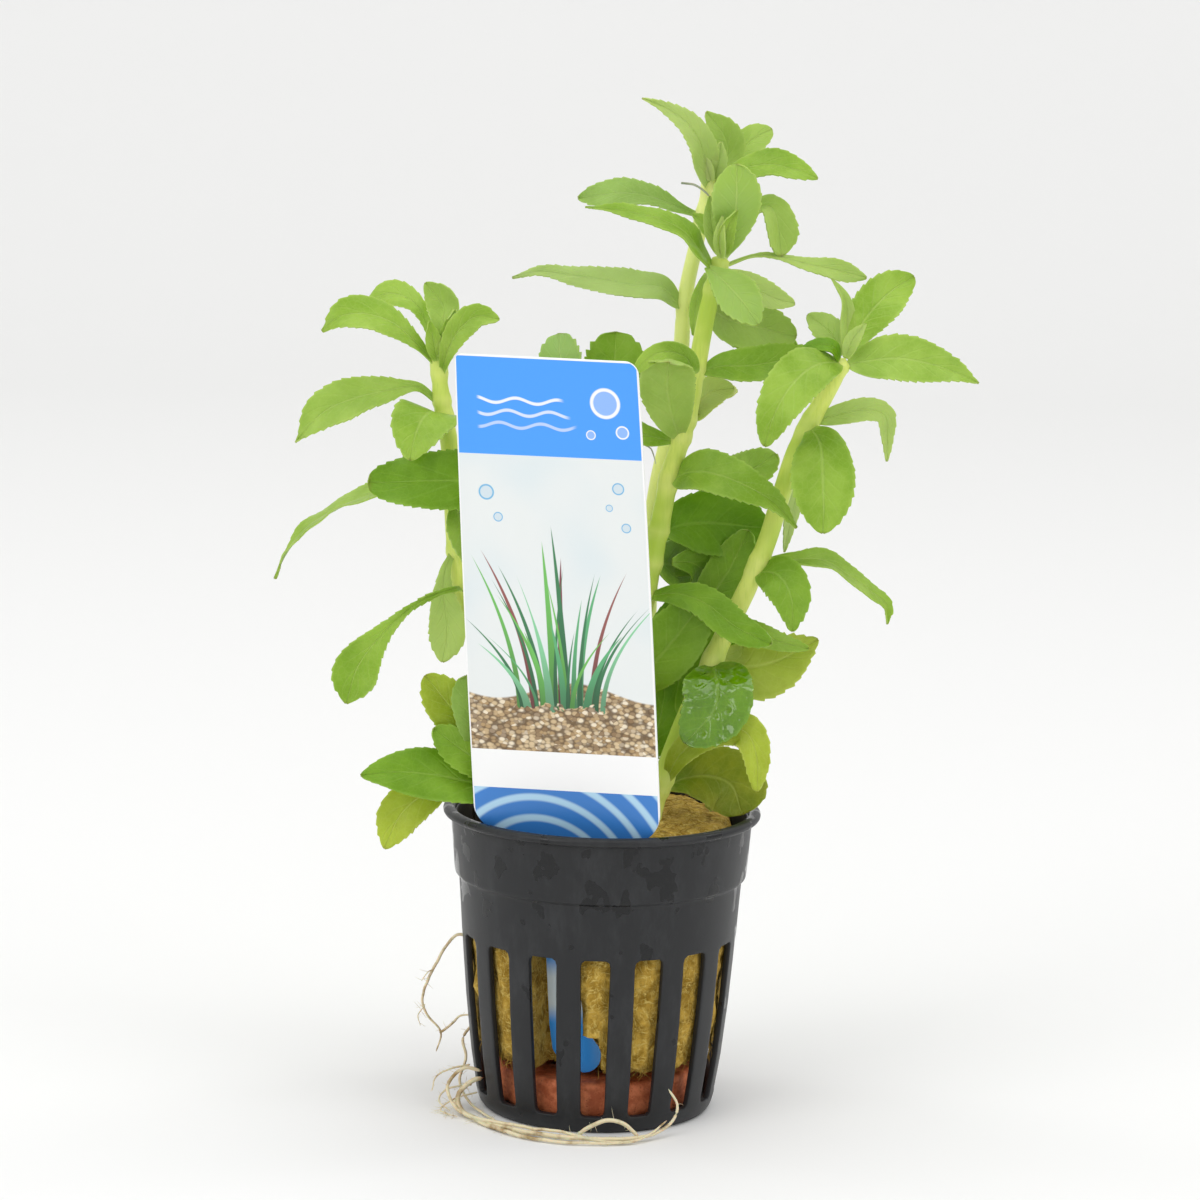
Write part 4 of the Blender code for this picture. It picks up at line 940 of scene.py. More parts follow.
@dataclass(frozen=True)
class LeafFinish:
    """A living leaf: mottled green, a light midrib and side veins, and a paler underside."""

    name: str
    upper: Colour
    shade: Colour
    under: Colour
    vein: Colour
    roughness: float = 0.42
    shine: float = 0.25
    crinkle: float = 0.0

    # The deep colours that depth mixes towards: the deep leaves' own tone, and painted shade on leaves in
    # shadow.
    deep_upper: ClassVar[Colour] = srgb(106, 150, 4)
    deep_shade: ClassVar[Colour] = srgb(88, 132, 0)
    deep_under: ClassVar[Colour] = srgb(126, 162, 62)
    deep_vein: ClassVar[Colour] = srgb(140, 176, 62)
    # Pale whitish green that a negative depth lays over a leaf: painted light and painted sheen.
    painted_light: ClassVar[Colour] = srgb(194, 210, 134)
    dry_tip: ClassVar[Colour] = srgb(120, 96, 40)

    def material(self) -> Material:
        """Builds the leaf's material.

        Returns:
            The material.
        """
        material, graph, shader = new_material(
            self.name, Roughness=self.roughness, Subsurface_Weight=0.25, Subsurface_Radius=(0.7, 1.0, 0.2),
            Subsurface_Scale=0.0010, Specular_IOR_Level=self.shine)
        place = graph.objects()
        flat = graph.put("ShaderNodeTexCoord").outputs["UV"]
        veins = graph.put("ShaderNodeGroup", {0: flat}, node_tree=vein_group()).outputs
        mottle = graph.put("ShaderNodeGroup", {0: place}, node_tree=mottle_group()).outputs
        under, depth = graph.value("under"), graph.value("depth")
        # depth deepens the colours towards the deep ones: partly the leaf's own tone, partly painted shade.
        vein = graph.mix(depth, self.vein, self.deep_vein)
        upper = graph.mix(depth, self.upper, self.deep_upper)
        shade = graph.mix(depth, self.shade, self.deep_shade)
        # Darker, more saturated green towards the leaf's foot: partly its own colour, partly painted shade
        # where the leaves crowd at the stem. Below zero, depth lessens this painted shade.
        near = graph.times(graph.rise(veins["Along"], 0.42, 0.04), 0.45)
        near = graph.math("ADD", near, graph.math("MINIMUM", depth, 0.0), clamp=True)
        # Below zero, depth mixes the pale colour in: painted light and painted sheen on leaves that look more
        # lit.
        painted_light = graph.times(depth, -0.9, clamp=True)
        shade = graph.mix(near, shade, self.deep_shade)
        broad = graph.times(mottle["Broad"], graph.math("SUBTRACT", 1.0, near))
        top = graph.mix(painted_light, graph.mix(broad, shade, upper), self.painted_light)
        for mask, share in ((mottle["Net"], 0.10), (veins["Side"], 0.11), (veins["Midrib"], 0.36)):
            top = graph.over(top, mask, share, vein)
        # The underside deepens with depth as well: partly its own tone, partly painted shade.
        low = graph.over(self.under, depth, 0.7, self.deep_under)
        low = graph.mix(painted_light, graph.over(low, mottle["Broad"], 0.5, upper), self.painted_light)
        for mask, share in ((veins["Side"], 0.16), (veins["Midrib"], 0.5)):
            low = graph.over(low, mask, share, vein)
        colour = graph.mix(under, top, low)
        colour = graph.over(colour, graph.rise(veins["Along"], 0.10, 0.0), 0.5, vein)
        colour = graph.over(colour, veins["Margin"], 0.30, vein)
        colour = graph.over(colour, graph.rise(veins["Along"], 0.98, 1.0), 0.3, self.dry_tip)
        graph.feed(shader.inputs["Base Color"], colour)
        relief = graph.line(veins["Side"], 0.45, veins["Midrib"])
        relief = graph.times(relief, graph.line(under, 2.0, -1.0))
        relief = graph.line(mottle["Fine"], 0.35, relief)
        if self.crinkle:
            folds = graph.cells(place, 420.0, "SMOOTH_F1")
            relief = graph.line(folds["Distance"], self.crinkle, relief)
        bump(graph, shader, relief, 0.14, 0.7)
        return material


@dataclass(frozen=True)
class StemFinish:
    """A smooth juicy stem: pale yellow green with long streaks, and lighter rings at the nodes."""

    light: Colour = srgb(226, 236, 124)
    green: Colour = srgb(180, 206, 78)
    ring: Colour = srgb(226, 232, 142)
    pale: Colour = srgb(248, 252, 172)

    def material(self) -> Material:
        """Builds the stem's material.

        Returns:
            The material.
        """
        material, graph, shader = new_material(
            "living_stem", Roughness=0.36, Subsurface_Weight=0.3, Subsurface_Radius=(1.0, 1.0, 0.3),
            Subsurface_Scale=0.0015, Specular_IOR_Level=0.28)
        place = graph.objects()
        streaks = graph.noise(graph.stretched(place, (1.0, 1.0, 0.05)), 2200.0, 2.0, 0.6)
        clouds = graph.noise(place, 90.0, 2.0)
        colour = graph.mix(graph.rise(clouds, 0.35, 0.68), self.light, self.green)
        colour = graph.over(colour, graph.rise(streaks, 0.45, 0.75), 0.4, self.green)
        colour = graph.over(colour, graph.rise(graph.split(place)[2], 0.10, 0.155), 0.35, self.green)
        colour = graph.mix(graph.value("pale"), colour, self.pale)
        colour = graph.over(colour, graph.value("node"), 0.35, self.ring)
        graph.feed(shader.inputs["Base Color"], colour)
        bump(graph, shader, streaks, 0.06, 0.6)
        return material


@dataclass(frozen=True)
class PotFinish:
    """Black moulded plastic, a little dusty, with patches left wet by water."""

    dry: Colour = srgb(31, 32, 34)
    dust: Colour = srgb(47, 48, 50)
    wet: Colour = srgb(13, 14, 16)

    def material(self) -> Material:
        """Builds the pot's material.

        Returns:
            The material.
        """
        material, graph, shader = new_material("black_plastic", Specular_IOR_Level=0.36)
        place = graph.objects()
        scuffs = graph.noise(graph.stretched(place, (1.0, 1.0, 0.35)), 260.0, 5.0, 0.7)
        colour = graph.mix(graph.rise(scuffs, 0.42, 0.8), self.dry, self.dust)
        drops = graph.noise(graph.stretched(place, (1.0, 1.0, 0.75)), 230.0, 2.5, 0.55)
        collar = graph.line(graph.rise(graph.split(place)[2], 0.020, 0.046), 0.075, drops)
        wet = graph.rise(collar, 0.655, 0.675)
        graph.feed(shader.inputs["Base Color"], graph.over(colour, wet, 0.85, self.wet))
        rough = graph.line(scuffs, 0.25, 0.30)
        graph.feed(shader.inputs["Roughness"], graph.line(wet, -0.24, rough))
        grain = graph.noise(place, 5200.0, 2.0)
        bump(graph, shader, graph.line(wet, 0.8, grain), 0.05, 0.35)
        return material


@dataclass(frozen=True)
class WoolFinish:
    """Wet rock wool: matted ochre fibres, partly patchy in tone, with painted shade darkening its hollows."""

    light: Colour = srgb(216, 190, 106)
    middle: Colour = srgb(196, 160, 68)
    # dark: partly the wool's patchy tone, partly painted shade in the hollows.
    dark: Colour = srgb(138, 106, 26)
    warp: tuple = (0.0045, 0.0045, 0.0045)

    def material(self) -> Material:
        """Builds the wool's material.

        Returns:
            The material.
        """
        material, graph, shader = new_material("rock_wool", Roughness=0.9, Specular_IOR_Level=0.25)
        place = graph.objects()
        warp = graph.put("ShaderNodeTexNoise", {"Vector": place, "Scale": 260.0, "Detail": 2.0})
        bent = graph.put("ShaderNodeVectorMath", {0: warp.outputs["Color"], 1: self.warp, 2: place},
                         operation="MULTIPLY_ADD").outputs[0]
        lying = graph.noise(graph.stretched(bent, (0.25, 0.25, 1.0)), 2600.0, 3.0, 0.65)
        standing = graph.noise(graph.stretched(bent, (1.0, 1.0, 0.18)), 2200.0, 3.0, 0.65)
        fibres = graph.math("MAXIMUM", lying, standing)
        clumps = graph.noise(place, 420.0, 3.0, 0.6)
        # The colour follows the clumps that also set the relief: darker where they sink is partly the wool's
        # patchy tone, partly painted shade in the hollows.
        colour = graph.mix(graph.rise(clumps, 0.32, 0.66), self.dark, self.middle)
        colour = graph.mix(graph.rise(fibres, 0.50, 0.74), colour, self.light)
        graph.feed(shader.inputs["Base Color"], colour)
        bump(graph, shader, graph.line(clumps, 1.2, fibres), 0.5, 0.9)
        return material


@dataclass(frozen=True)
class ClayFinish:
    """Fired porous clay, reddish brown and damp."""

    light: Colour = srgb(234, 138, 92)
    dark: Colour = srgb(188, 96, 56)

    def material(self) -> Material:
        """Builds the clay's material.

        Returns:
            The material.
        """
        material, graph, shader = new_material("fired_clay", Roughness=0.62, Specular_IOR_Level=0.4)
        place = graph.objects()
        clouds = graph.noise(place, 500.0, 4.0, 0.65)
        colour = graph.mix(graph.rise(clouds, 0.35, 0.7), self.dark, self.light)
        # Dark pits, which the bump also sinks: painted shade in the clay's pores.
        pores = graph.cells(place, 1500.0)["Distance"]
        colour = graph.over(colour, graph.rise(pores, 0.22, 0.05), 0.7, self.dark)
        graph.feed(shader.inputs["Base Color"], colour)
        bump(graph, shader, graph.math("ADD", clouds, graph.rise(pores, 0.0, 0.3)), 0.25, 0.7)
        return material


@dataclass(frozen=True)
class RootFinish:
    """Cream roots, browner where they dried."""

    name: str = "cream_root"
    light: Colour = srgb(226, 214, 178)
    brown: Colour = srgb(160, 134, 88)

    def material(self) -> Material:
        """Builds the roots' material.

        Returns:
            The material.
        """
        material, graph, shader = new_material(self.name, Roughness=0.55, Subsurface_Weight=0.2,
                                               Subsurface_Scale=0.0006)
        place = graph.objects()
        dry = graph.rise(graph.noise(place, 330.0, 3.0, 0.6), 0.46, 0.72)
        graph.feed(shader.inputs["Base Color"], graph.mix(dry, self.light, self.brown))
        bump(graph, shader, graph.noise(place, 3000.0, 2.0), 0.08, 0.8)
        return material


def grass_group() -> Tree:
    """The mask of one printed ribbon of grass, which bends away from its foot.

    Returns:
        The group.
    """
    def fill(graph: Graph, start: Sequence[Socket]) -> Sequence[Socket]:
        """Adds the group's nodes and returns its outputs' values.

        Args:
            graph: the group's graph.
            start: its inputs.

        Returns:
            The outputs' values.
        """
        rise = graph.math("DIVIDE", graph.math("SUBTRACT", start["Z"], start["Base"]), start["Height"])
        bend = graph.times(graph.times(rise, rise), start["Lean"])
        off = graph.gap(start["X"], graph.math("ADD", start["Foot"], bend))
        narrow = graph.math("POWER", graph.math("SUBTRACT", 1.0, rise, clamp=True), 0.6)
        edge = graph.math("SUBTRACT", graph.times(narrow, start["Half"]), off)
        inside = graph.times(graph.rise(edge, 0.0, 0.12), graph.math("GREATER_THAN", rise, 0.0))
        return graph.times(inside, graph.math("LESS_THAN", rise, 1.0)), rise

    return node_group("printed_grass", ("X", "Z", "Foot", "Base", "Lean", "Height", "Half"),
                      ("Mask", "Rise"), fill)


def bubble_group() -> Tree:
    """The mask of one printed bubble: a ring round a faint film.

    Returns:
        The group.
    """
    def fill(graph: Graph, start: Sequence[Socket]) -> Sequence[Socket]:
        """Adds the group's nodes and returns its outputs' values.

        Args:
            graph: the group's graph.
            start: its inputs.

        Returns:
            The outputs' values.
        """
        off_x = graph.math("SUBTRACT", start["X"], start["Middle X"])
        off_z = graph.math("SUBTRACT", start["Z"], start["Middle Z"])
        share = graph.math("DIVIDE", graph.length(off_x, off_z), start["Radius"])
        ring = graph.rise(graph.gap(share, 0.88), 0.16, 0.06)
        film = graph.times(graph.rise(share, 1.0, 0.9), 0.25)
        return (graph.math("MAXIMUM", ring, film),)

    return node_group("printed_bubble", ("X", "Z", "Middle X", "Middle Z", "Radius"), ("Mask",), fill)


@dataclass(frozen=True)
class LabelFinish:
    """Printed gloss plastic: a blue head, a pale panel with ribbon grass over pebbles, and a blue foot."""

    blue: Colour = srgb(72, 160, 255)
    panel: Colour = srgb(233, 237, 236)
    glow: Colour = srgb(212, 228, 234)
    white: Colour = srgb(250, 250, 250)
    water: Colour = srgb(120, 186, 226)
    band: Colour = srgb(58, 128, 206)
    band_ring: Colour = srgb(182, 220, 244)
    stake: Colour = srgb(64, 164, 255)
    stake_pale: Colour = srgb(226, 242, 250)
    greens: tuple = (srgb(62, 128, 84), srgb(96, 176, 120), srgb(138, 208, 158), srgb(112, 190, 92))
    reds: tuple = (srgb(128, 62, 74), srgb(150, 88, 84))
    sands: tuple = (srgb(96, 74, 48), srgb(216, 192, 152), srgb(182, 152, 108), srgb(240, 226, 200),
                    srgb(126, 98, 66))
    head_foot: float = 63.6
    waves: tuple = (72.4, 70.4, 68.4)
    bubbles: tuple = ((9.6, 72.6, 2.5), (12.2, 68.0, 1.1), (7.0, 67.4, 0.8), (-10.8, 57.4, 1.3),
                      (-9.0, 53.4, 0.8), (11.0, 58.8, 1.0), (9.4, 55.6, 0.6), (12.0, 52.4, 0.8))
    grass_layers: tuple = (9, 10, 9)
    grass_base: float = 20.5
    strip_top: float = 14.2
    strip_foot: float = 7.6
    margin: float = 0.22

    def grass(self) -> list[tuple]:
        """The ribbons as (foot, lean, height, half width, colour), the far ones first.

        Returns:
            The ribbons.
        """
        dice = random.Random(11)
        ribbons = []
        for layer, count in enumerate(self.grass_layers):
            for index in range(count):
                spread = (index + 0.5) / count * 2 - 1
                foot = spread * (7.5 - layer) + dice.uniform(-0.8, 0.8)
                lean = spread * 8.5 + dice.uniform(-3.5, 3.5)
                height = (35 - 7 * layer) * (1 - 0.25 * abs(spread)) * dice.uniform(0.72, 1.0)
                colour = dice.choice(self.reds if layer == 0 and index % 3 == 1 else self.greens)
                ribbons.append((foot, lean, height, dice.uniform(0.35, 0.85), colour))
        return ribbons

    def picture(self, graph: Graph, x: Socket, z: Socket) -> Socket:
        """The panel's picture as a colour: pebbles, grass and a soft glow.

        Args:
            graph: the material's graph.
            x: the place across the label in millimetres.
            z: the place up the label in millimetres.

        Returns:
            The colour.
        """
        flat = graph.put("ShaderNodeCombineXYZ", {0: x, 1: z}).outputs[0]
        colour = graph.over(self.panel, graph.rise(graph.noise(flat, 0.06, 1.0), 0.4, 0.7), 0.5, self.glow)
        shore = graph.line(graph.math("SINE", graph.line(x, 0.24, 1.0)), 1.5, 24.6)
        stone = self.pebbles(graph, flat)
        colour = graph.mix(graph.rise(graph.math("SUBTRACT", shore, z), -0.2, 0.2), colour, stone)
        for foot, lean, height, half, tint in self.grass():
            inputs = {"X": x, "Z": z, "Foot": foot, "Base": self.grass_base, "Lean": lean,
                      "Height": height, "Half": half}
            ribbon = graph.put("ShaderNodeGroup", inputs, node_tree=grass_group()).outputs
            dark = tuple(c * 0.45 for c in tint)
            shaded = graph.mix(graph.rise(ribbon["Rise"], 0.0, 0.75), dark, tint)
            colour = graph.mix(ribbon["Mask"], colour, shaded)
        near = graph.line(graph.noise(flat, 0.55, 2.0), 5.0, 19.4)
        return graph.mix(graph.rise(graph.math("SUBTRACT", near, z), -0.1, 0.1), colour, stone)

    def pebbles(self, graph: Graph, flat: Socket) -> Socket:
        """The pebbles' colour: sandy stones of several tints with soft dark gaps.

        Args:
            graph: the material's graph.
            flat: the place on the label.

        Returns:
            The colour.
        """
        cells = graph.cells(graph.stretched(flat, (1.0, 1.35, 1.0)), 1.15)
        pick = graph.split(cells["Color"])
        stone = graph.mix(graph.rise(pick[0], 0.2, 0.8), self.sands[1], self.sands[2])
        stone = graph.mix(graph.rise(pick[1], 0.55, 0.9), stone, self.sands[3])
        stone = graph.over(stone, graph.rise(pick[2], 0.7, 0.95), 0.8, self.sands[4])
        gap = graph.times(graph.rise(cells["Distance"], 0.38, 0.78), 0.85)
        return graph.mix(gap, stone, self.sands[0])

    def ripple_band(self, graph: Graph, x: Socket, z: Socket) -> Socket:
        """The blue foot and stake as a colour: light rings on deep blue, and a pale stretch of stake.

        Args:
            graph: the material's graph.
            x: the place across the label.
            z: the place up it.

        Returns:
            The colour.
        """
        far = graph.length(graph.math("ADD", x, 5.0), graph.math("ADD", z, 9.0))
        rings = graph.rise(graph.math("SINE", graph.times(far, 1.75)), 0.1, 0.95)
        colour = graph.mix(rings, self.band, self.band_ring)
        pale = graph.times(graph.rise(z, -21.0, -25.5), graph.rise(z, -33.5, -29.5))
        colour = graph.mix(graph.rise(z, -1.5, -3.0), colour, self.stake)
        return graph.mix(pale, colour, self.stake_pale)

    def material(self) -> Material:
        """Builds the label's material.

        Returns:
            The material.
        """
        material, graph, shader = new_material("printed_plastic", Roughness=0.3, Specular_IOR_Level=0.5)
        print_place = graph.put("ShaderNodeAttribute", attribute_name="print_place").outputs["Vector"]
        x, z, front = graph.split(print_place)
        colour = self.picture(graph, x, z)
        colour = graph.mix(graph.math("GREATER_THAN", z, self.head_foot), colour, self.blue)
        for row, height in enumerate(self.waves):
            swell = graph.math("SINE", graph.line(x, 0.9, 1.3 * row))
            wave = graph.rise(graph.gap(z, graph.line(swell, 0.42, height)), 0.32, 0.18)
            wave = graph.times(wave, graph.rise(x, 3.0 + row, 1.6 + row))
            wave = graph.times(wave, graph.rise(x, -12.0, -11.2))
            colour = graph.over(colour, wave, 0.9 - 0.2 * row, self.white)
        for middle_x, middle_z, radius in self.bubbles:
            inputs = {"X": x, "Z": z, "Middle X": middle_x, "Middle Z": middle_z, "Radius": radius}
            bubble = graph.put("ShaderNodeGroup", inputs, node_tree=bubble_group())
            tint = self.white if middle_z > self.head_foot else self.water
            colour = graph.mix(bubble.outputs["Mask"], colour, tint)
        colour = graph.mix(graph.math("LESS_THAN", z, self.strip_top), colour, self.white)
        foot = graph.math("LESS_THAN", z, self.strip_foot)
        colour = graph.mix(foot, colour, self.ripple_band(graph, x, z))
        inset = LABEL_WIDTH / 2 - self.margin, LABEL_TOP - self.margin
        side = graph.rise(graph.math("ABSOLUTE", x), inset[0] - 0.05, inset[0])
        top = graph.rise(z, inset[1] - 0.05, inset[1])
        edge = graph.times(graph.math("MAXIMUM", side, top), graph.math("GREATER_THAN", z, LABEL_FOOT))
        colour = graph.mix(edge, colour, self.white)
        graph.feed(shader.inputs["Base Color"], graph.mix(front, self.white, colour))
        return material


@dataclass(frozen=True)
class FloorFinish:
    """A plain pale studio floor."""

    colour: Colour = (0.875, 0.875, 0.868)

    def material(self) -> Material:
        """Builds the floor's material."""
        return new_material("studio_floor", Base_Color=(*self.colour, 1.0), Roughness=0.8,
                            Specular_IOR_Level=0.2)[0]


GREEN_TISSUE = (srgb(156, 186, 72), srgb(130, 164, 44), srgb(152, 182, 88), srgb(184, 206, 112))
# FRESH and DEEP share colours; the deep tone differs by its default depth of 1, which is partly painted
# shade.
LEAF_FINISHES = {
    Tone.FRESH: GREEN_TISSUE,
    Tone.DEEP: GREEN_TISSUE,
    Tone.PALE: (srgb(148, 178, 88), srgb(132, 162, 72), srgb(146, 178, 96), srgb(180, 204, 122)),
    Tone.YELLOWED: (srgb(172, 188, 58), srgb(152, 166, 40), srgb(178, 192, 84), srgb(202, 212, 112)),
    Tone.OLIVE: (srgb(146, 152, 34), srgb(112, 126, 12), srgb(150, 160, 70), srgb(174, 182, 84)),
}
GLOSSY_FINISH = LeafFinish("leaf_glossy", srgb(104, 144, 6), srgb(74, 118, 0), srgb(140, 172, 76),
                           srgb(116, 156, 30), roughness=0.07, shine=0.75, crinkle=9.0)
WITHERED_FINISH = RootFinish("withered_thread", srgb(164, 172, 148), srgb(118, 128, 100))


def from_view(points: Points) -> Array:
    """The real places (x, y, z) of points (x, z, y) of the front view.

    Args:
        points: the drawn points.

    Returns:
        The real places.
    """
    rows = np.array(points, dtype=float)
    scale = (EYE_DISTANCE + rows[:, 2]) / EYE_DISTANCE
    return np.stack([rows[:, 0] * scale, rows[:, 2], EYE_HEIGHT + (rows[:, 1] - EYE_HEIGHT) * scale], axis=1)


def turned_place(angle: Array, radius: Array, height: Array) -> Array:
    """Places round the pot's axis, where the angle runs to the left from the front."""
    return np.stack([radius * np.sin(angle), -radius * np.cos(angle), height], axis=-1)


def label_frame() -> Matrix:
    """The label's frame in millimetres: X along its width, Y through it to the back, Z up the plate."""
    return (Matrix.Translation(LABEL_ORIGIN) @ Matrix.Rotation(LABEL_YAW, 4, "Z")
            @ Matrix.Rotation(LABEL_LEAN, 4, "X") @ Matrix.Rotation(-LABEL_ROLL, 4, "Y"))


def to_label(places: Array) -> Array:
    """Real places in the label's own frame."""
    turn = np.array(label_frame().inverted())
    return places @ turn[:3, :3].T + turn[:3, 3]


def from_label(places: Array) -> Array:
    """Real places of points given in the label's own frame."""
    turn = np.array(label_frame())
    return places @ turn[:3, :3].T + turn[:3, 3]


def inner_wall(height: Array) -> Array:
    """The radius of the pot's inner wall at these heights."""
    rows = np.array(POT_PROFILE[WALL_ROW:])
    return np.interp(height, rows[:, 1], rows[:, 0]) - POT_WALL


def slot_share(places: Array) -> Array:
    """How far into a slot's opening a place looks out, from 0 at the ribs to 1 in the slot's middle.

    Args:
        places: the places.

    Returns:
        Each place's share.
    """
    height = places[..., 2]
    angle = np.arctan2(places[..., 0], -places[..., 1]) - SLOT_TURN
    off = np.abs((angle + SLOT_PERIOD / 2) % SLOT_PERIOD - SLOT_PERIOD / 2) * inner_wall(height)
    half = np.interp(height, (SLOT_FOOT, SLOT_TOP), SLOT_WIDTHS) / 2
    over_foot = smooth_step(height, SLOT_FOOT + 0.3, SLOT_FOOT + 1.6)
    under_top = 1 - smooth_step(height, SLOT_TOP - 1.6, SLOT_TOP - 0.3)
    return smooth_step(half - 0.25 - off, 0.0, 1.3) * (over_foot * under_top)


@dataclass
class NetPot:
    """The tapered net cup: one slotted sheet with its wall thickness, and a rolled lip."""

    slot_columns: int = 4
    rib_columns: int = 6
    edge: float = 0.16
    lip_radius: float = 25.45
    lip_half: float = 1.05
    lip_depth: float = 1.6
    lip_segments: tuple = (180, 20)
    widest_floor_slot: float = math.radians(8.0)

    @property
    def group(self) -> int:
        """The columns of a slot and the rib beside it."""
        return self.slot_columns + self.rib_columns

    def half_turn(self, radius: Array, height: Array) -> Array:
        """Half the angle that a slot takes up at this radius and height.

        Args:
            radius: the radii.
            height: the heights.

        Returns:
            The half angles.
        """
        width = np.interp(height, (SLOT_FOOT, SLOT_TOP), SLOT_WIDTHS)
        ends = (SLOT_FOOT, SLOT_FOOT + 0.3, SLOT_FOOT + 0.9, SLOT_TOP - 1.2, SLOT_TOP - 0.4, SLOT_TOP)
        width = width * np.interp(height, ends, (0.7, 0.92, 1.0, 1.0, 0.92, 0.7))
        width = np.where(height <= 0, FLOOR_SLOT_WIDTH, width)
        half = np.arcsin(np.clip(width / 2 / np.maximum(radius, 0.1), 0.0, 1.0))
        return np.where(height <= 0, np.minimum(half, self.widest_floor_slot), half)

    def place(self, u: Array, v: Array) -> Array:
        """Lays the sheet's points; each period of columns is a slot and then a rib.

        Args:
            u: the points' place across, from 0 to 1.
            v: their place along, from 0 to 1.

        Returns:
            Their places in millimetres.
        """
        radius, height = np.array(POT_PROFILE)[index_at(v, len(POT_PROFILE) - 1)].T
        column = index_at(u, self.group * SLOT_COUNT)
        step = column % self.group
        half = self.half_turn(radius, height)
        slot = -half + 2 * half * step / self.slot_columns
        rib = half + (SLOT_PERIOD - 2 * half) * (step - self.slot_columns) / self.rib_columns
        angle = SLOT_TURN + SLOT_PERIOD * (column // self.group)
        return turned_place(angle + np.where(step <= self.slot_columns, slot, rib), radius, height)

    def hole(self, u: Array, v: Array) -> Array:
        """Tells which faces lie in a slot of the wall or of the floor.

        Args:
            u: the faces' place round the sheet, from 0 to 1.
            v: their place along the profile, from 0 to 1.

        Returns:
            True for each face in a slot.
        """
        rows = np.array(POT_PROFILE)
        row = np.floor(v * (len(rows) - 1)).astype(int)
        low, high = rows[row], rows[row + 1]
        column = np.floor(u * self.group * SLOT_COUNT).astype(int)
        in_wall = (low[:, 1] >= SLOT_FOOT) & (high[:, 1] <= SLOT_TOP)
        near, far = FLOOR_SLOT_REACH
        in_floor = (low[:, 0] >= near) & (high[:, 0] <= far) & (high[:, 1] <= 0)
        in_floor &= column // self.group % 2 == 1
        return (column % self.group < self.slot_columns) & (in_wall | in_floor)

    def build(self) -> None:
        """Makes and dresses the pot."""
        sheet = lay_grid("net_cup", self.group * SLOT_COUNT, len(POT_PROFILE) - 1, self.place, self.hole)
        weld(sheet)
        apply_modifier(sheet, "SOLIDIFY", thickness=POT_WALL * MM, offset=-1.0)
        apply_modifier(sheet, "BEVEL", width=self.edge * MM, segments=2, limit_method="ANGLE",
                       angle_limit=math.radians(35))
        smooth_shade(sheet, 50)
        bpy.ops.object.select_all(action="DESELECT")
        bpy.ops.mesh.primitive_torus_add(
            major_radius=self.lip_radius * MM, minor_radius=self.lip_half * MM,
            major_segments=self.lip_segments[0], minor_segments=self.lip_segments[1],
            location=(0, 0, (POT_HEIGHT - self.lip_depth / 2) * MM))
        lip = bpy.context.object
        lip.scale.z = self.lip_depth / 2 / self.lip_half
        bpy.ops.object.transform_apply(location=True, rotation=True, scale=True)
        bpy.ops.object.shade_smooth()
        dress(join([sheet, lip], "net_cup"), PotFinish().material(), ["net_pot"])


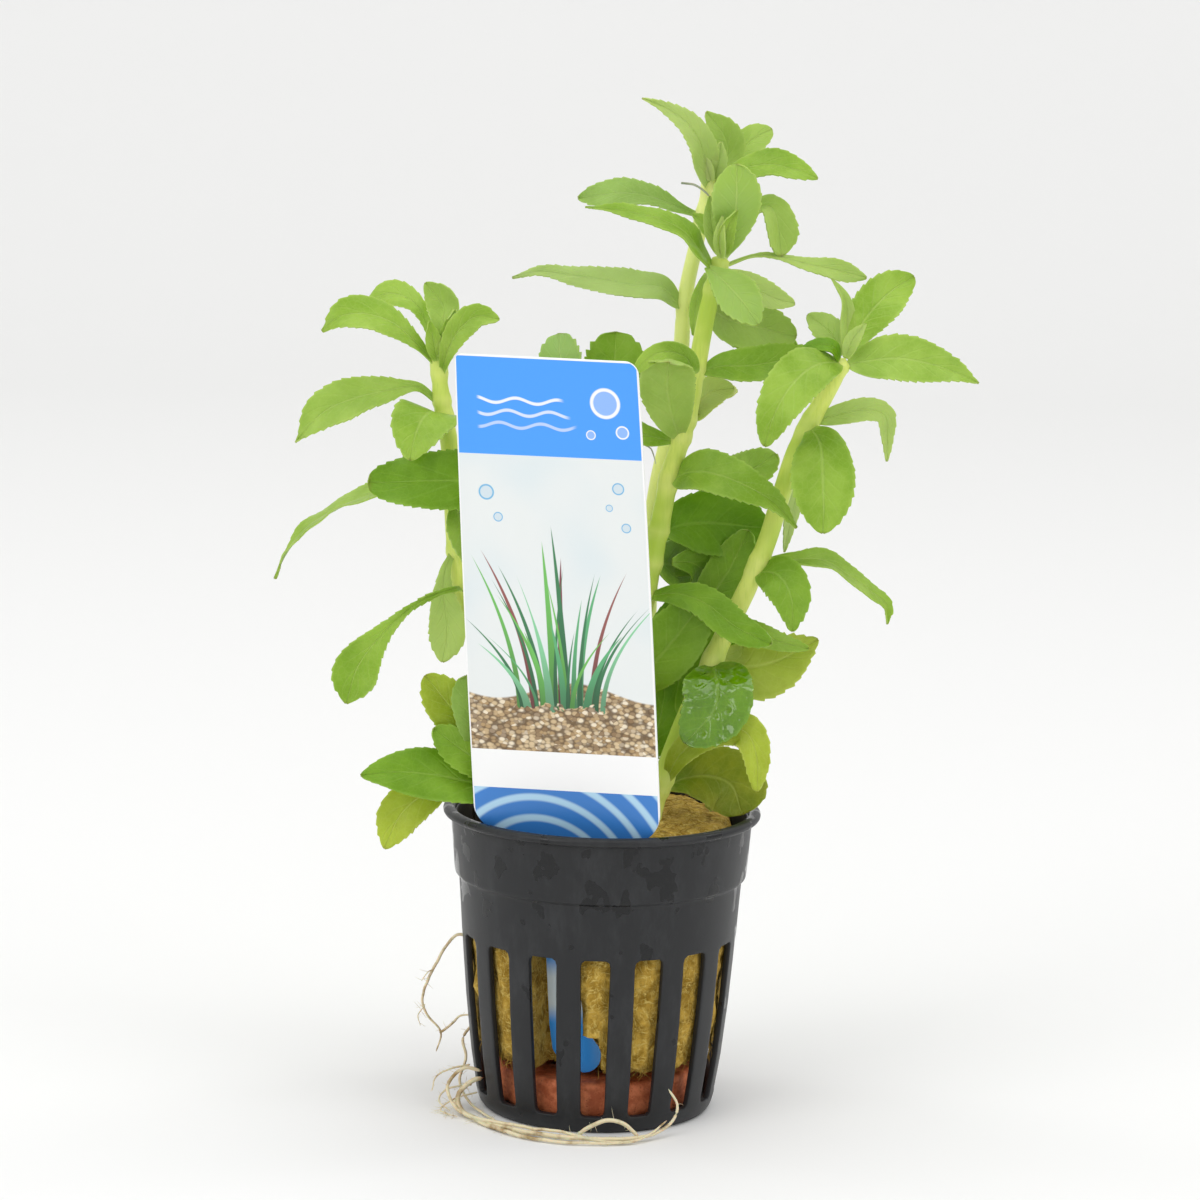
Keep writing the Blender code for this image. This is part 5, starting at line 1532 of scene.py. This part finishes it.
@dataclass
class RockWoolPlug:
    """The plug of matted fibres, its ragged foot, and the loose fibres that stand off it."""

    profile: tuple = ((0, 9.9), (12, 9.9), (18.0, 10.1), (19.5, 11.3), (20.2, 16), (20.8, 22.4), (21.4, 30),
                      (21.3, 36), (21.1, 42), (21.1, 46.0), (20.7, 48.2), (18.9, 49.7), (10, 50.3), (0, 50.4))
    middle: tuple = (0.0, 0.0, 28.0)
    columns: int = 288
    rows: int = 150
    channel: float = 0.6
    gap: float = 0.14
    bulge: float = 1.5
    drift: float = 1.3
    fibre_counts: tuple = (("foot", 520), ("side", 380), ("top", 420))
    fibre_rings: int = 7
    fibre_seed: int = 5
    top_reach: float = 18.4

    def clear_of_stake(self, places: Array) -> Array:
        """Pushes what lies before the label's stake to just behind it.

        Args:
            places: the skin's places.

        Returns:
            The places, pushed back.
        """
        local = to_label(places)
        x, y, z = local[..., 0], local[..., 1], local[..., 2]
        left = smooth_step(x, STAKE_LEFT - 1.3, STAKE_LEFT - 0.4)
        right_edge = np.where(z < BARB_TOP + 0.4, BARB_REACH, STAKE_RIGHT)
        right = 1.0 - smooth_step(x - right_edge, 0.4, 1.3)
        high = 1.0 - smooth_step(z, LABEL_FOOT + 1.0, LABEL_FOOT + 3.0)
        plate = (np.abs(x) < LABEL_WIDTH / 2 + 0.5) & (np.abs(z - LABEL_FOOT - 4) < 5.5)
        share = np.maximum(left * right * high, plate) * (y < self.channel)
        local[..., 1] += (self.channel - y) * share
        return from_label(local)

    def place(self, u: Array, v: Array) -> Array:
        """Lays the points of the plug's skin, from the foot's middle over the side to the top.

        Args:
            u: the points' place across, from 0 to 1.
            v: their place along, from 0 to 1.

        Returns:
            Their places in millimetres.
        """
        profile = np.array(self.profile, dtype=float)
        run = lengths(profile)
        radius, height = along_line(profile, run, v * run[-1]).T
        places = turned_place(2 * math.pi * u, radius, height)
        out = unit(places - np.array(self.middle))
        opening = slot_share(places)
        swell = 0.55 * ripples(places, 5.0) + 0.35 * ripples(places, 1.6, 3.0)
        swell = swell + 0.16 * ripples(places, 0.8, 5.0)
        swell = swell + opening * (0.4 + 1.1 * ripples(places, 4.6, 9.0))
        places = places + out * (swell * smooth_step(radius, 2.0, 8.0))[:, None]
        ragged = bell(height - 10.2, 1.3) * smooth_step(radius, 14.0, 17.0)
        places[:, 0] += self.drift * smooth_step(height, 36.0, 47.0)
        places[:, 2] += ragged * (1.1 * ripples(places * (1, 1, 0), 1.7, 7.0) - 0.2)
        reach = np.maximum(np.linalg.norm(places[:, :2], axis=1), 1e-6)
        most = inner_wall(places[:, 2]) - self.gap + self.bulge * opening
        places[:, :2] *= np.minimum(1.0, most / reach)[:, None]
        return self.clear_of_stake(places)

    def fibre_roots(self, kind: str, angle: Array, dice: np.random.Generator) -> tuple[Array, Array]:
        """Where the fibres of a kind start on the plug's skin, and which way is out of it.

        Args:
            kind: foot, side or top.
            angle: each fibre's place round the plug.
            dice: the fibres' random numbers.

        Returns:
            The starts and the ways out.
        """
        count = len(angle)
        if kind == "top":
            reach = self.top_reach * np.sqrt(dice.uniform(0.02, 1.0, count))
            start = turned_place(angle, reach, np.interp(reach, (10, 18.9, 20.7), (50.1, 49.5, 48.1)))
            start[:, 0] += self.drift
            return start, np.tile((0.0, 0.0, 1.0), (count, 1))
        height = dice.uniform(*((9.8, 12.5) if kind == "foot" else (10.5, 46.0)), count)
        rows = np.array(self.profile[2:-4])
        start = turned_place(angle, np.interp(height, rows[:, 1], rows[:, 0]) - 0.1, height)
        start[:, :2] *= 1 + 0.02 * slot_share(start)[:, None]
        return start, turned_place(angle, np.ones(count), np.zeros(count))

    def fibres(self) -> Obj:
        """The loose fibres: a beard at the foot, and wisps on the side and the top.

        Returns:
            The new piece.
        """
        dice = np.random.default_rng(self.fibre_seed)
        share = np.linspace(0.0, 1.0, self.fibre_rings)[None, :]
        paths, radii = [], []
        for kind, count in self.fibre_counts:
            angle = dice.uniform(0, 2 * math.pi, count)
            turn = dice.uniform(0, 2 * math.pi, count)
            length = dice.uniform(1.2, 3.6, count)
            start, lift = self.fibre_roots(kind, angle, dice)
            if kind == "top":
                ahead = np.stack([np.cos(turn), np.sin(turn), 0 * turn], axis=-1)
            else:
                around = np.stack([np.cos(angle), np.sin(angle), 0 * angle], axis=-1)
                up = np.cos(turn) if kind == "side" else -np.abs(np.cos(turn)) - 0.2
                ahead = around * np.sin(turn)[:, None] + np.array((0.0, 0.0, 1.0)) * up[:, None]
            bow = dice.uniform(0.25, 0.85, count)[:, None] * np.sin(math.pi * share * 0.8)
            bend = dice.uniform(-0.9, 0.9, count)[:, None] * share ** 2
            paths.append(start[:, None] + ahead[:, None] * (length[:, None] * share)[..., None]
                         + lift[:, None] * bow[..., None]
                         + unit(np.cross(ahead, lift))[:, None] * bend[..., None])
            radii.append(dice.uniform(0.03, 0.065, count)[:, None] * np.sqrt(1.02 - share))
        paths, radii = np.concatenate(paths), np.concatenate(radii)
        keep = self.clear_fibres(paths)
        return lay_strands("wool_fibres", paths[keep], radii[keep], 3)

    def clear_fibres(self, paths: Array) -> Array:
        """Tells which fibres keep clear of the label, the pot's wall and the clay ring.

        Args:
            paths: the fibres' middle lines.

        Returns:
            True for each fibre that stays.
        """
        local = to_label(paths.reshape(-1, 3)).reshape(paths.shape)
        x, y, z = local[..., 0], local[..., 1], local[..., 2]
        before = (np.abs(x) < LABEL_WIDTH / 2 + 1) & (y < 1.0) & (z > -4.0)
        stake = (x > STAKE_LEFT - 0.8) & (x < BARB_REACH + 0.8) & (y < 0.9) & (z < 0)
        most = inner_wall(paths[..., 2]) - 0.08 + 1.7 * slot_share(paths)
        outside = np.linalg.norm(paths[..., :2], axis=-1) > most
        return ~(before | stake | outside).any(axis=1) & (paths[..., 2].min(axis=1) > 8.1)

    def build(self) -> None:
        """Makes and dresses the plug and its fibres."""
        finish = WoolFinish().material()
        body = lay_grid("wool_plug", self.columns, self.rows, self.place)
        weld(body)
        smooth_shade(body, 70)
        dress(body, finish, ["rock_wool_plug"])
        fibres = self.fibres()
        smooth_shade(fibres, 180)
        dress(fibres, finish)


@dataclass
class ClayRing:
    """The ring of fired clay under the plug: a turned block with rounded edges and a rough skin."""

    columns: int = 160
    rows: int = 60
    edge: float = 0.9

    def outline(self) -> Array:
        """The ring's section as (radius, height), from its bore's foot round the underside.

        Returns:
            The section's points.
        """
        corners = ((RING_BORE + self.edge, RING_FOOT + self.edge, 180),
                   (RING_RADIUS - self.edge, RING_FOOT + self.edge, 270),
                   (RING_RADIUS - self.edge, RING_TOP - self.edge, 0),
                   (RING_BORE + self.edge, RING_TOP - self.edge, 90))
        rows = []
        for radius, height, start in corners:
            for turn in np.linspace(start, start + 90, 4):
                rows.append((radius + self.edge * math.cos(math.radians(turn)),
                             height + self.edge * math.sin(math.radians(turn))))
        section = np.array([*rows, rows[0]])
        run = lengths(section)
        return along_line(section, run, np.linspace(0.0, run[-1], self.rows + 1))

    def build(self) -> None:
        """Makes and dresses the ring."""
        outline = self.outline()
        core = ((RING_BORE + RING_RADIUS) / 2, (RING_FOOT + RING_TOP) / 2)

        def place(u: Array, v: Array) -> Array:
            """The places for the points' u and v.

            Args:
                u: the points' place across, from 0 to 1.
                v: their place along, from 0 to 1.

            Returns:
                Their places in millimetres.
            """
            radius, height = outline[index_at(v, self.rows)].T
            places = turned_place(2 * math.pi * u, radius, height)
            middle = turned_place(2 * math.pi * u, *(np.full(len(u), part) for part in core))
            rough = 0.16 * ripples(places, 2.4, 1.0) + 0.09 * ripples(places, 0.9, 2.0)
            return places + unit(places - middle) * rough[:, None]

        ring = lay_grid("fired_clay_ring", self.columns, self.rows, place)
        weld(ring)
        smooth_shade(ring, 60)
        dress(ring, ClayFinish().material(), ["clay_ring"])


def arc(centre: Sequence[float], radius: float, start: float, end: float) -> list[tuple[float, float]]:
    """Points on an arc from one turn in degrees to another."""
    turns = np.radians(np.linspace(start, end, 14))
    return [(centre[0] + radius * math.cos(t), centre[1] + radius * math.sin(t)) for t in turns]


@dataclass
class PlantLabel:
    """The printed plate with its barbed stake, cut from one sheet of plastic."""

    edge: float = 0.08
    lean_back: float = 4.4
    drift: float = 0.9
    spread: float = 0.8
    slump: float = 0.5
    tight_share: float = 0.55
    strip: float = 4.0

    def outline(self) -> list[tuple[float, float]]:
        """The plate's outline as (x, z) in its own frame.

        Returns:
            The outline's points.
        """
        half = LABEL_WIDTH / 2
        top, foot = LABEL_TOP_CORNER, LABEL_FOOT_CORNER
        left = top * self.tight_share
        neck = LABEL_FOOT - STAKE_SHOULDER
        return [*arc((half - top, LABEL_TOP - top), top, 0, 90),
                *arc((left - half, LABEL_TOP - left), left, 90, 180),
                *arc((foot - half, LABEL_FOOT + foot), foot, 180, 270),
                *arc((STAKE_LEFT - STAKE_SHOULDER, neck), STAKE_SHOULDER, 90, 0),
                (STAKE_LEFT, BARB_TOP), *arc(*BARB_HEEL), *arc(*BARB_TOE), (STAKE_RIGHT, BARB_TOP),
                *arc((STAKE_RIGHT + STAKE_SHOULDER, neck), STAKE_SHOULDER, 180, 90),
                *arc((half - foot, LABEL_FOOT + foot), foot, 270, 360)]

    def cut_up(self, obj: Obj) -> None:
        """Cuts the flat plate into strips, so that it can bend.

        Args:
            obj: the plate.
        """
        select_only(obj)
        bpy.ops.object.mode_set(mode="EDIT")
        cuts = [((0, z * MM, 0), (0, 1, 0)) for z in np.arange(LABEL_FOOT + 3, LABEL_TOP - 1, self.strip)]
        cuts += [((x * MM, 0, 0), (1, 0, 0)) for x in np.arange(-12.0, 13.0, self.strip)]
        for place, across in cuts:
            bpy.ops.mesh.select_all(action="SELECT")
            bpy.ops.mesh.bisect(plane_co=place, plane_no=across)
        bpy.ops.object.mode_set(mode="OBJECT")

    def bent(self, places: Array) -> Array:
        """Bends the upper plate: its left corner leans back, and its top drifts to the left.

        Args:
            places: places in the label's frame.

        Returns:
            The bent places.
        """
        x, z = places[:, 0], places[:, 2]
        rise = np.clip((z - 12.0) / (LABEL_TOP - 12.0), 0.0, None)
        left = np.clip(0.5 - x / LABEL_WIDTH, 0.0, 1.0)
        bent = places.copy()
        bent[:, 1] += rise ** 2 * (self.lean_back * left + 0.5)
        bent[:, 0] -= self.drift * rise ** 2 + self.spread * left * smooth_step(z, -2.0, 4.0)
        bent[:, 2] -= self.slump * (1.0 + 0.8 * left) * np.clip(z / LABEL_TOP, 0.0, 1.0)
        return bent

    def plate(self) -> Obj:
        """The flat plate as a mesh, X along its width and Y up it.

        Returns:
            The plate.
        """
        outline = self.outline()
        curve = bpy.data.curves.new("printed_label", "CURVE")
        curve.dimensions = "2D"
        curve.fill_mode = "BOTH"
        curve.extrude = (LABEL_THICKNESS / 2 - self.edge) * MM
        curve.bevel_depth = self.edge * MM
        curve.bevel_resolution = 1
        curve.offset = -self.edge * MM
        spline = curve.splines.new("POLY")
        spline.points.add(len(outline) - 1)
        for point, (x, z) in zip(spline.points, outline):
            point.co = (x * MM, z * MM, 0.0, 1.0)
        spline.use_cyclic_u = True
        obj = bpy.data.objects.new("printed_label", curve)
        bpy.context.collection.objects.link(obj)
        select_only(obj)
        bpy.ops.object.convert(target="MESH")
        return bpy.context.object

    def build(self) -> None:
        """Makes and dresses the label."""
        obj = self.plate()
        weld(obj, 0.004)
        self.cut_up(obj)
        flat = positions(obj)
        attribute = obj.data.attributes.new("print_place", "FLOAT_VECTOR", "CORNER")
        for face in obj.data.polygons:
            front = float(face.normal.z > 0.5)
            for corner in face.loop_indices:
                x, z = flat[obj.data.loops[corner].vertex_index][:2]
                attribute.data[corner].vector = (x, z, front)
        move_points(obj, from_label(self.bent(np.stack([flat[:, 0], -flat[:, 2], flat[:, 1]], axis=-1))))
        smooth_shade(obj, 30)
        dress(obj, LabelFinish().material(), ["plant_label"])


class GrownStem:
    """A stem's middle line and radii, from its top to its foot."""

    def __init__(self, stem: Stem) -> None:
        """Finds the line from the front view and the socket.

        Args:
            stem: the stem's row of the table.
        """
        self.stem = stem
        self.nodes: list[float] = []
        mouth = np.array([(*stem.socket, PLUG_TOP + 1.5)])
        drawn = smooth_path(np.vstack([from_view(stem.view), mouth]), STEM_POINTS)
        self.points = np.vstack([drawn, [(*stem.socket, STEM_FOOT)]])
        radii = np.linspace(stem.top_radius, stem.foot_radius, STEM_POINTS)
        self.radii = np.append(radii, stem.foot_radius)

    def at_height(self, height: float) -> tuple[Array, float]:
        """The middle point and the radius at this height.

        Args:
            height: the height.

        Returns:
            The point and the radius.
        """
        heights = self.points[::-1, 2]
        place = np.array([np.interp(height, heights, self.points[::-1, k]) for k in range(3)])
        return place, float(np.interp(height, heights, self.radii[::-1]))

    def build(self, material: Material) -> None:
        """Makes and dresses the stem, which swells where its leaves spring.

        Args:
            material: the stems' finish.
        """
        path = smooth_path(self.points, STEM_RINGS + 1)
        run = lengths(path)
        base = np.interp(path[:, 2], self.points[::-1, 2], self.radii[::-1])
        above = path[:, 2:3] - np.array(self.nodes)
        swell = 0.28 * bell(above, 1.1).max(axis=1)
        pinch = 0.1 * bell(above + 1.5, 0.8).max(axis=1)
        top, foot = (np.sqrt(np.clip(1.0 - (1.0 - np.clip(way / base, 0, 1)) ** 2, 0, 1))
                     for way in (run, run[-1] - run))

        def radius(angle: Array, v: Array) -> Array:
            """The radius for the points' angle and part of the length.

            Args:
                angle: the points' angle.
                v: their part of the length.

            Returns:
                The radii.
            """
            ring = index_at(v, STEM_RINGS)
            squared = 1.0 + 0.025 * np.cos(4 * angle + 0.3)
            return (base[ring] * squared + swell[ring] - pinch[ring]) * top[ring] * foot[ring]

        obj = sweep(f"living_{self.stem.name}", path, radius, 28)
        heights = positions(obj)[:, 2:3]
        write_values(obj, "node", bell(heights - np.array(self.nodes), 0.9).max(axis=1))
        write_values(obj, "pale", np.full(len(heights), self.stem.pale))
        smooth_shade(obj, 80)
        dress(obj, material, [self.stem.name])


@dataclass
class Blade:
    """One leaf blade, from its midrib's line to its toothed, waved and veined sheet."""

    name: str
    leaf: Leaf
    stem: Optional[GrownStem]

    def midrib(self, count: int) -> Array:
        """Points along the midrib, which springs from inside the stem's skin.

        Args:
            count: how many points to return.

        Returns:
            The points.
        """
        drawn = from_view(self.leaf.view)
        if self.stem is not None:
            axis, radius = self.stem.at_height(drawn[0][2])
            out = drawn[1] - axis
            out[2] *= LEAF_SPRING
            drawn[0] = axis + unit(out) * radius * 0.7
            self.stem.nodes.append(drawn[0][2])
        return smooth_path(drawn, count)

    def half_width(self, t: Array) -> Array:
        """Half the blade's width at this part of its length.

        Args:
            t: parts of the length, from 0 to 1.

        Returns:
            The half widths.
        """
        leaf = self.leaf
        swell = np.sin(math.pi * t ** (math.log(0.5) / math.log(leaf.widest)))
        return leaf.half * np.maximum(swell, 0.0) ** leaf.taper + STALK_HALF * (1 - t) ** 2 + TIP_HALF * t

    def sheet(self, rough: Array, length: float, teeth: int) -> Place:
        """Finds how the blade's points lie.

        Args:
            rough: points along the midrib.
            length: the midrib's length in millimetres.
            teeth: how many teeth each side has.

        Returns:
            What gives the places for the points' u across the blade and v along it.
        """
        leaf = self.leaf
        rows = teeth * ROWS_PER_TOOTH
        midrib = smooth_path(rough, rows + 1)
        t = np.linspace(0.0, 1.0, rows + 1)
        along = unit(np.gradient(midrib, axis=0))
        face, face_tip = (unit(np.array(way, dtype=float)) for way in (leaf.face, leaf.face_tip or leaf.face))
        side = -unit(np.cross(face + (face_tip - face) * t[:, None], along))
        up = np.cross(side, along)
        half = self.half_width(t)
        dice = random.Random(self.name)
        phases = [dice.uniform(0, 2 * math.pi) for _ in range(6)]
        curl = dice.uniform(-0.10, 0.05)
        fold = math.radians(leaf.fold)
        small = min(1.0, leaf.half / 3.2)
        bites = np.array([[dice.uniform(0.3, 1.25) for _ in range(teeth + 1)] for _ in range(2)])

        def place(u: Array, v: Array) -> Array:
            """The places for the points' u and v.

            Args:
                u: the points' place across, from 0 to 1.
                v: their place along, from 0 to 1.

            Returns:
                Their places in millimetres.
            """
            across = 2 * u - 1
            far = np.abs(across)
            ring = index_at(v, rows)
            saw = (ring % ROWS_PER_TOOTH) / (ROWS_PER_TOOTH - 1) - 0.5
            edge = (far > 0.99) * smooth_step(v, 0.14, 0.34) * (1 - smooth_step(v, 0.96, 0.995))
            bite = bites[(across > 0).astype(int), ring // ROWS_PER_TOOTH]
            tooth = saw * edge * bite * min(0.3, 0.09 * leaf.half) * leaf.teeth
            reach = across * half[ring] + np.sign(across) * tooth
            phase = np.where(across > 0, phases[0], phases[1])
            swing = np.sin(v * length / SWING_LENGTH * 2 * math.pi * 0.55 + phase)
            flutter = np.sin(v * length / FLUTTER_LENGTH * 2 * math.pi * 0.5 + phase * 1.7)
            wave = leaf.ripple * small * far ** 2.2 * (swing + 0.4 * flutter) * smooth_step(v, 0.05, 0.3)
            vein = v * VEIN_COUNT - far ** VEIN_CURVE * VEIN_SLANT
            quilt = 0.12 * small * np.abs(np.sin(math.pi * vein)) * smooth_step(far, 0.05, 0.3)
            quilt = quilt * (1 - smooth_step(far, 0.75, 0.98)) * smooth_step(v, 0.08, 0.2)
            sag = 0.25 * small * np.sin(v * math.pi * 2.2 + phases[2]) * smooth_step(v, 0.1, 0.4)
            height = (np.sqrt(reach ** 2 + 0.16) - 0.4) * math.sin(fold) + curl * half[ring] * far ** 3
            height = height + wave + quilt + sag
            return (midrib[ring] + side[ring] * (reach * math.cos(fold))[:, None] + up[ring] * height[:, None]
                    + along[ring] * (0.5 * tooth)[:, None])

        return place

    def build(self, material: Material) -> None:
        """Makes and dresses the blade.

        Args:
            material: its finish.
        """
        leaf = self.leaf
        rough = self.midrib(40)
        length = float(np.linalg.norm(np.diff(rough, axis=0), axis=1).sum())
        teeth = max(6, round(length / TOOTH_SPACING))
        obj = lay_grid(self.name.replace("leaf_", "blade_"), LEAF_COLUMNS, teeth * ROWS_PER_TOOTH,
                       self.sheet(rough, length, teeth))
        upper = len(obj.data.vertices)
        apply_modifier(obj, "SOLIDIFY", thickness=LEAF_THICKNESS * MM, offset=0.0)
        under = np.ones(len(obj.data.vertices))
        under[:upper] = 0.0
        write_values(obj, "under", under)
        # Each leaf's depth: its own tone, with painted shade where it is deepened and painted light where it
        # is paled.
        depth = leaf.depth if leaf.depth is not None else float(leaf.tone is Tone.DEEP)
        write_values(obj, "depth", np.full(len(under), depth))
        smooth_shade(obj, 60)
        dress(obj, material, [self.name] if self.stem is not None else [])


class Plant:
    """The five stems with all their leaves."""

    def __init__(self) -> None:
        """Grows the stems' lines and lists the blades."""
        self.stems = {stem.name: GrownStem(stem) for stem in STEMS}
        self.blades = [Blade(f"leaf_{group}_{leaf.name}", leaf, self.stems[f"stem_{group}"])
                       for group, leaves in LEAVES.items() for leaf in leaves]
        self.blades += [Blade(leaf.name, leaf, None) for leaf in SMALL_LEAVES]

    def build(self) -> None:
        """Makes and dresses the leaves, and then the stems, which swell at them."""
        finishes = {tone: LeafFinish(tone.value, *colours).material()
                    for tone, colours in LEAF_FINISHES.items()}
        glossy = GLOSSY_FINISH.material()
        for blade in self.blades:
            blade.build(glossy if blade.leaf.gloss else finishes[blade.leaf.tone])
        finish = StemFinish().material()
        for stem in self.stems.values():
            stem.build(finish)


@dataclass
class Roots:
    """The roots that grew out of the slots, with their fine hairs, and withered threads on the plant."""

    rings: int = 90
    sides: int = 8
    hair_rings: int = 6

    def hairs(self, name: str, paths: Array, count: int, seed: int) -> Obj:
        """Makes the hairs on a bundle, outside the pot's wall.

        Args:
            name: the new piece's name.
            paths: the bundle's strands.
            count: how many hairs are tried.
            seed: the seed of their places.

        Returns:
            The new piece.
        """
        dice = np.random.default_rng(seed)
        which = dice.integers(0, len(paths), count)
        start = paths[which, dice.integers(4, self.rings - 4, count)]
        ahead = unit(dice.normal(size=(count, 3)) * (1, 1, 0.5) + (0, 0, 0.15))
        step = np.linspace(0.0, 1.0, self.hair_rings)[None, :, None]
        length = dice.uniform(0.5, 2.2, count)[:, None, None]
        bend = unit(dice.normal(size=(count, 3)))[:, None] * step ** 2 * 0.6
        fine = start[:, None] + ahead[:, None] * length * step + bend
        fine[..., 2] = np.maximum(fine[..., 2], 0.06)
        wall = np.interp(fine[..., 2], (0.0, 3.0, 30.0), (19.9, 20.6, 23.4))
        fine = fine[(np.linalg.norm(fine[..., :2], axis=-1) > wall).all(axis=1)]
        return lay_strands(name, fine, np.tile(np.linspace(0.05, 0.02, self.hair_rings), (len(fine), 1)), 3)

    def bundle(self, name: str, strands: Sequence[Strand], hairs: int, seed: int) -> Obj:
        """Makes a bundle of strands with hairs on them.

        Args:
            name: the new piece's name.
            strands: its strands.
            hairs: how many hairs are tried on them.
            seed: the seed of their places.

        Returns:
            The new piece.
        """
        share = np.linspace(0.0, 1.0, self.rings)
        paths = np.stack([smooth_path(strand.points, self.rings) for strand in strands])
        for index, path in enumerate(paths):
            for axis in range(3):
                path[:, axis] += 0.16 * ripples(path, 1.8, 3.0 * index + axis) * np.sin(math.pi * share)
        radii = np.stack([strand.radius * (1.0 - 0.55 * share ** 3) for strand in strands])
        radii[:, (1, -2)] *= 0.8
        paths[..., 2] = np.maximum(paths[..., 2], radii + 0.02)
        body = lay_strands(name, paths, radii, self.sides)
        return join([body, self.hairs(f"{name}_hairs", paths, hairs, seed)], name) if hairs else body

    def build(self) -> None:
        """Makes and dresses the roots and the threads."""
        cream, withered = RootFinish().material(), WITHERED_FINISH.material()
        for piece, material, nodes in (
                (self.bundle("grown_root_loop", ROOT_LOOP, 26, 1), cream, ["root_loop"]),
                (self.bundle("grown_root_foot", ROOT_FOOT, 190, 2), cream, ["root_foot"]),
                (self.bundle("withered_threads", THREADS, 0, 3), withered, [])):
            smooth_shade(piece, 180)
            dress(piece, material, nodes)


@dataclass
class Studio:
    """The pale sweep of floor, the soft lights, the sky and the camera, in metres and watts."""

    eye: tuple = (0.0, -0.650, 0.190)
    aim: tuple = (-0.0012, 0.0, 0.0857)
    roll: float = math.radians(1.42)
    lens: float = 119.25
    half_width: float = 2.5
    front: float = -2.0
    back: float = 1.1
    bend: float = 0.6
    wall_top: float = 2.2
    sky: float = 0.70
    plant: ClassVar[tuple] = (0.0, 0.0, 0.08)
    lights: tuple = (("softbox_left", (-0.75, -0.75, 0.75), 0.7, 3.5, plant),
                     ("softbox_right", (0.9, -0.55, 0.6), 0.6, 2.0, plant),
                     ("softbox_top", (0.0, -0.1, 1.2), 1.0, 3.8, plant),
                     ("backdrop_left", (-1.3, 0.5, 1.5), 0.8, 4.2, (-0.2, 1.7, 1.0)),
                     ("backdrop_right", (1.3, 0.5, 1.5), 0.8, 4.2, (0.2, 1.7, 1.0)))

    def camera(self) -> None:
        """Adds the camera at the photograph's viewing angle."""
        forward = (Vector(self.aim) - Vector(self.eye)).normalized()
        right = forward.cross(Vector((0, 0, 1))).normalized()
        up = right.cross(forward)
        turned_right = right * math.cos(self.roll) + up * math.sin(self.roll)
        turned_up = up * math.cos(self.roll) - right * math.sin(self.roll)
        data = bpy.data.cameras.new("studio_camera")
        data.lens = self.lens
        data.sensor_width = 36.0
        data.clip_start = 0.01
        obj = bpy.data.objects.new("studio_camera", data)
        matrix = Matrix((turned_right, turned_up, -forward)).transposed().to_4x4()
        matrix.translation = Vector(self.eye)
        obj.matrix_world = matrix
        bpy.context.collection.objects.link(obj)
        bpy.context.scene.camera = obj

    def floor(self) -> None:
        """Lays the floor, which bends up into a backdrop far behind the plant."""
        turns = np.radians(np.linspace(0, 90, 13))
        run = [(y, 0.0) for y in (self.front, -0.5, 0.0, 0.5)]
        run += [(self.back + self.bend * math.sin(t), self.bend * (1 - math.cos(t))) for t in turns]
        rows = np.array([*run, (self.back + self.bend, self.wall_top)])

        def place(u: Array, v: Array) -> Array:
            """The places for the points' u and v."""
            row = rows[index_at(v, len(rows) - 1)]
            return np.stack([(2 * u - 1) * self.half_width, row[:, 0], row[:, 1]], axis=-1) / MM

        obj = lay_grid("studio_floor", 8, len(rows) - 1, place)
        smooth_shade(obj, 60)
        obj.data.materials.append(FloorFinish().material())

    def light(self, name: str, place: Sequence[float], size: float, power: float,
              aim: Sequence[float]) -> None:
        """Adds a square soft light.

        Args:
            name: the light's name.
            place: where it hangs.
            size: its side.
            power: its power.
            aim: the place that it looks at.
        """
        data = bpy.data.lights.new(name, "AREA")
        data.shape = "SQUARE"
        data.size = size
        data.energy = power
        obj = bpy.data.objects.new(name, data)
        obj.location = place
        obj.rotation_euler = (Vector(place) - Vector(aim)).to_track_quat("Z", "Y").to_euler()
        bpy.context.collection.objects.link(obj)

    def build(self) -> None:
        """Makes the whole studio."""
        world = bpy.data.worlds.new("studio_sky")
        world.use_nodes = True
        background = world.node_tree.nodes["Background"]
        background.inputs["Color"].default_value = (1.0, 1.0, 1.0, 1.0)
        background.inputs["Strength"].default_value = self.sky
        bpy.context.scene.world = world
        bpy.context.scene.view_settings.view_transform = "Standard"
        self.floor()
        self.camera()
        for light in self.lights:
            self.light(*light)


def main() -> None:
    """Builds the studio and the pieces in order."""
    logging.basicConfig(level=logging.INFO, format="%(name)s: %(message)s")
    for assembly in (Studio, NetPot, RockWoolPlug, ClayRing, PlantLabel, Plant, Roots):
        assembly().build()


if __name__ == "__main__":
    main()
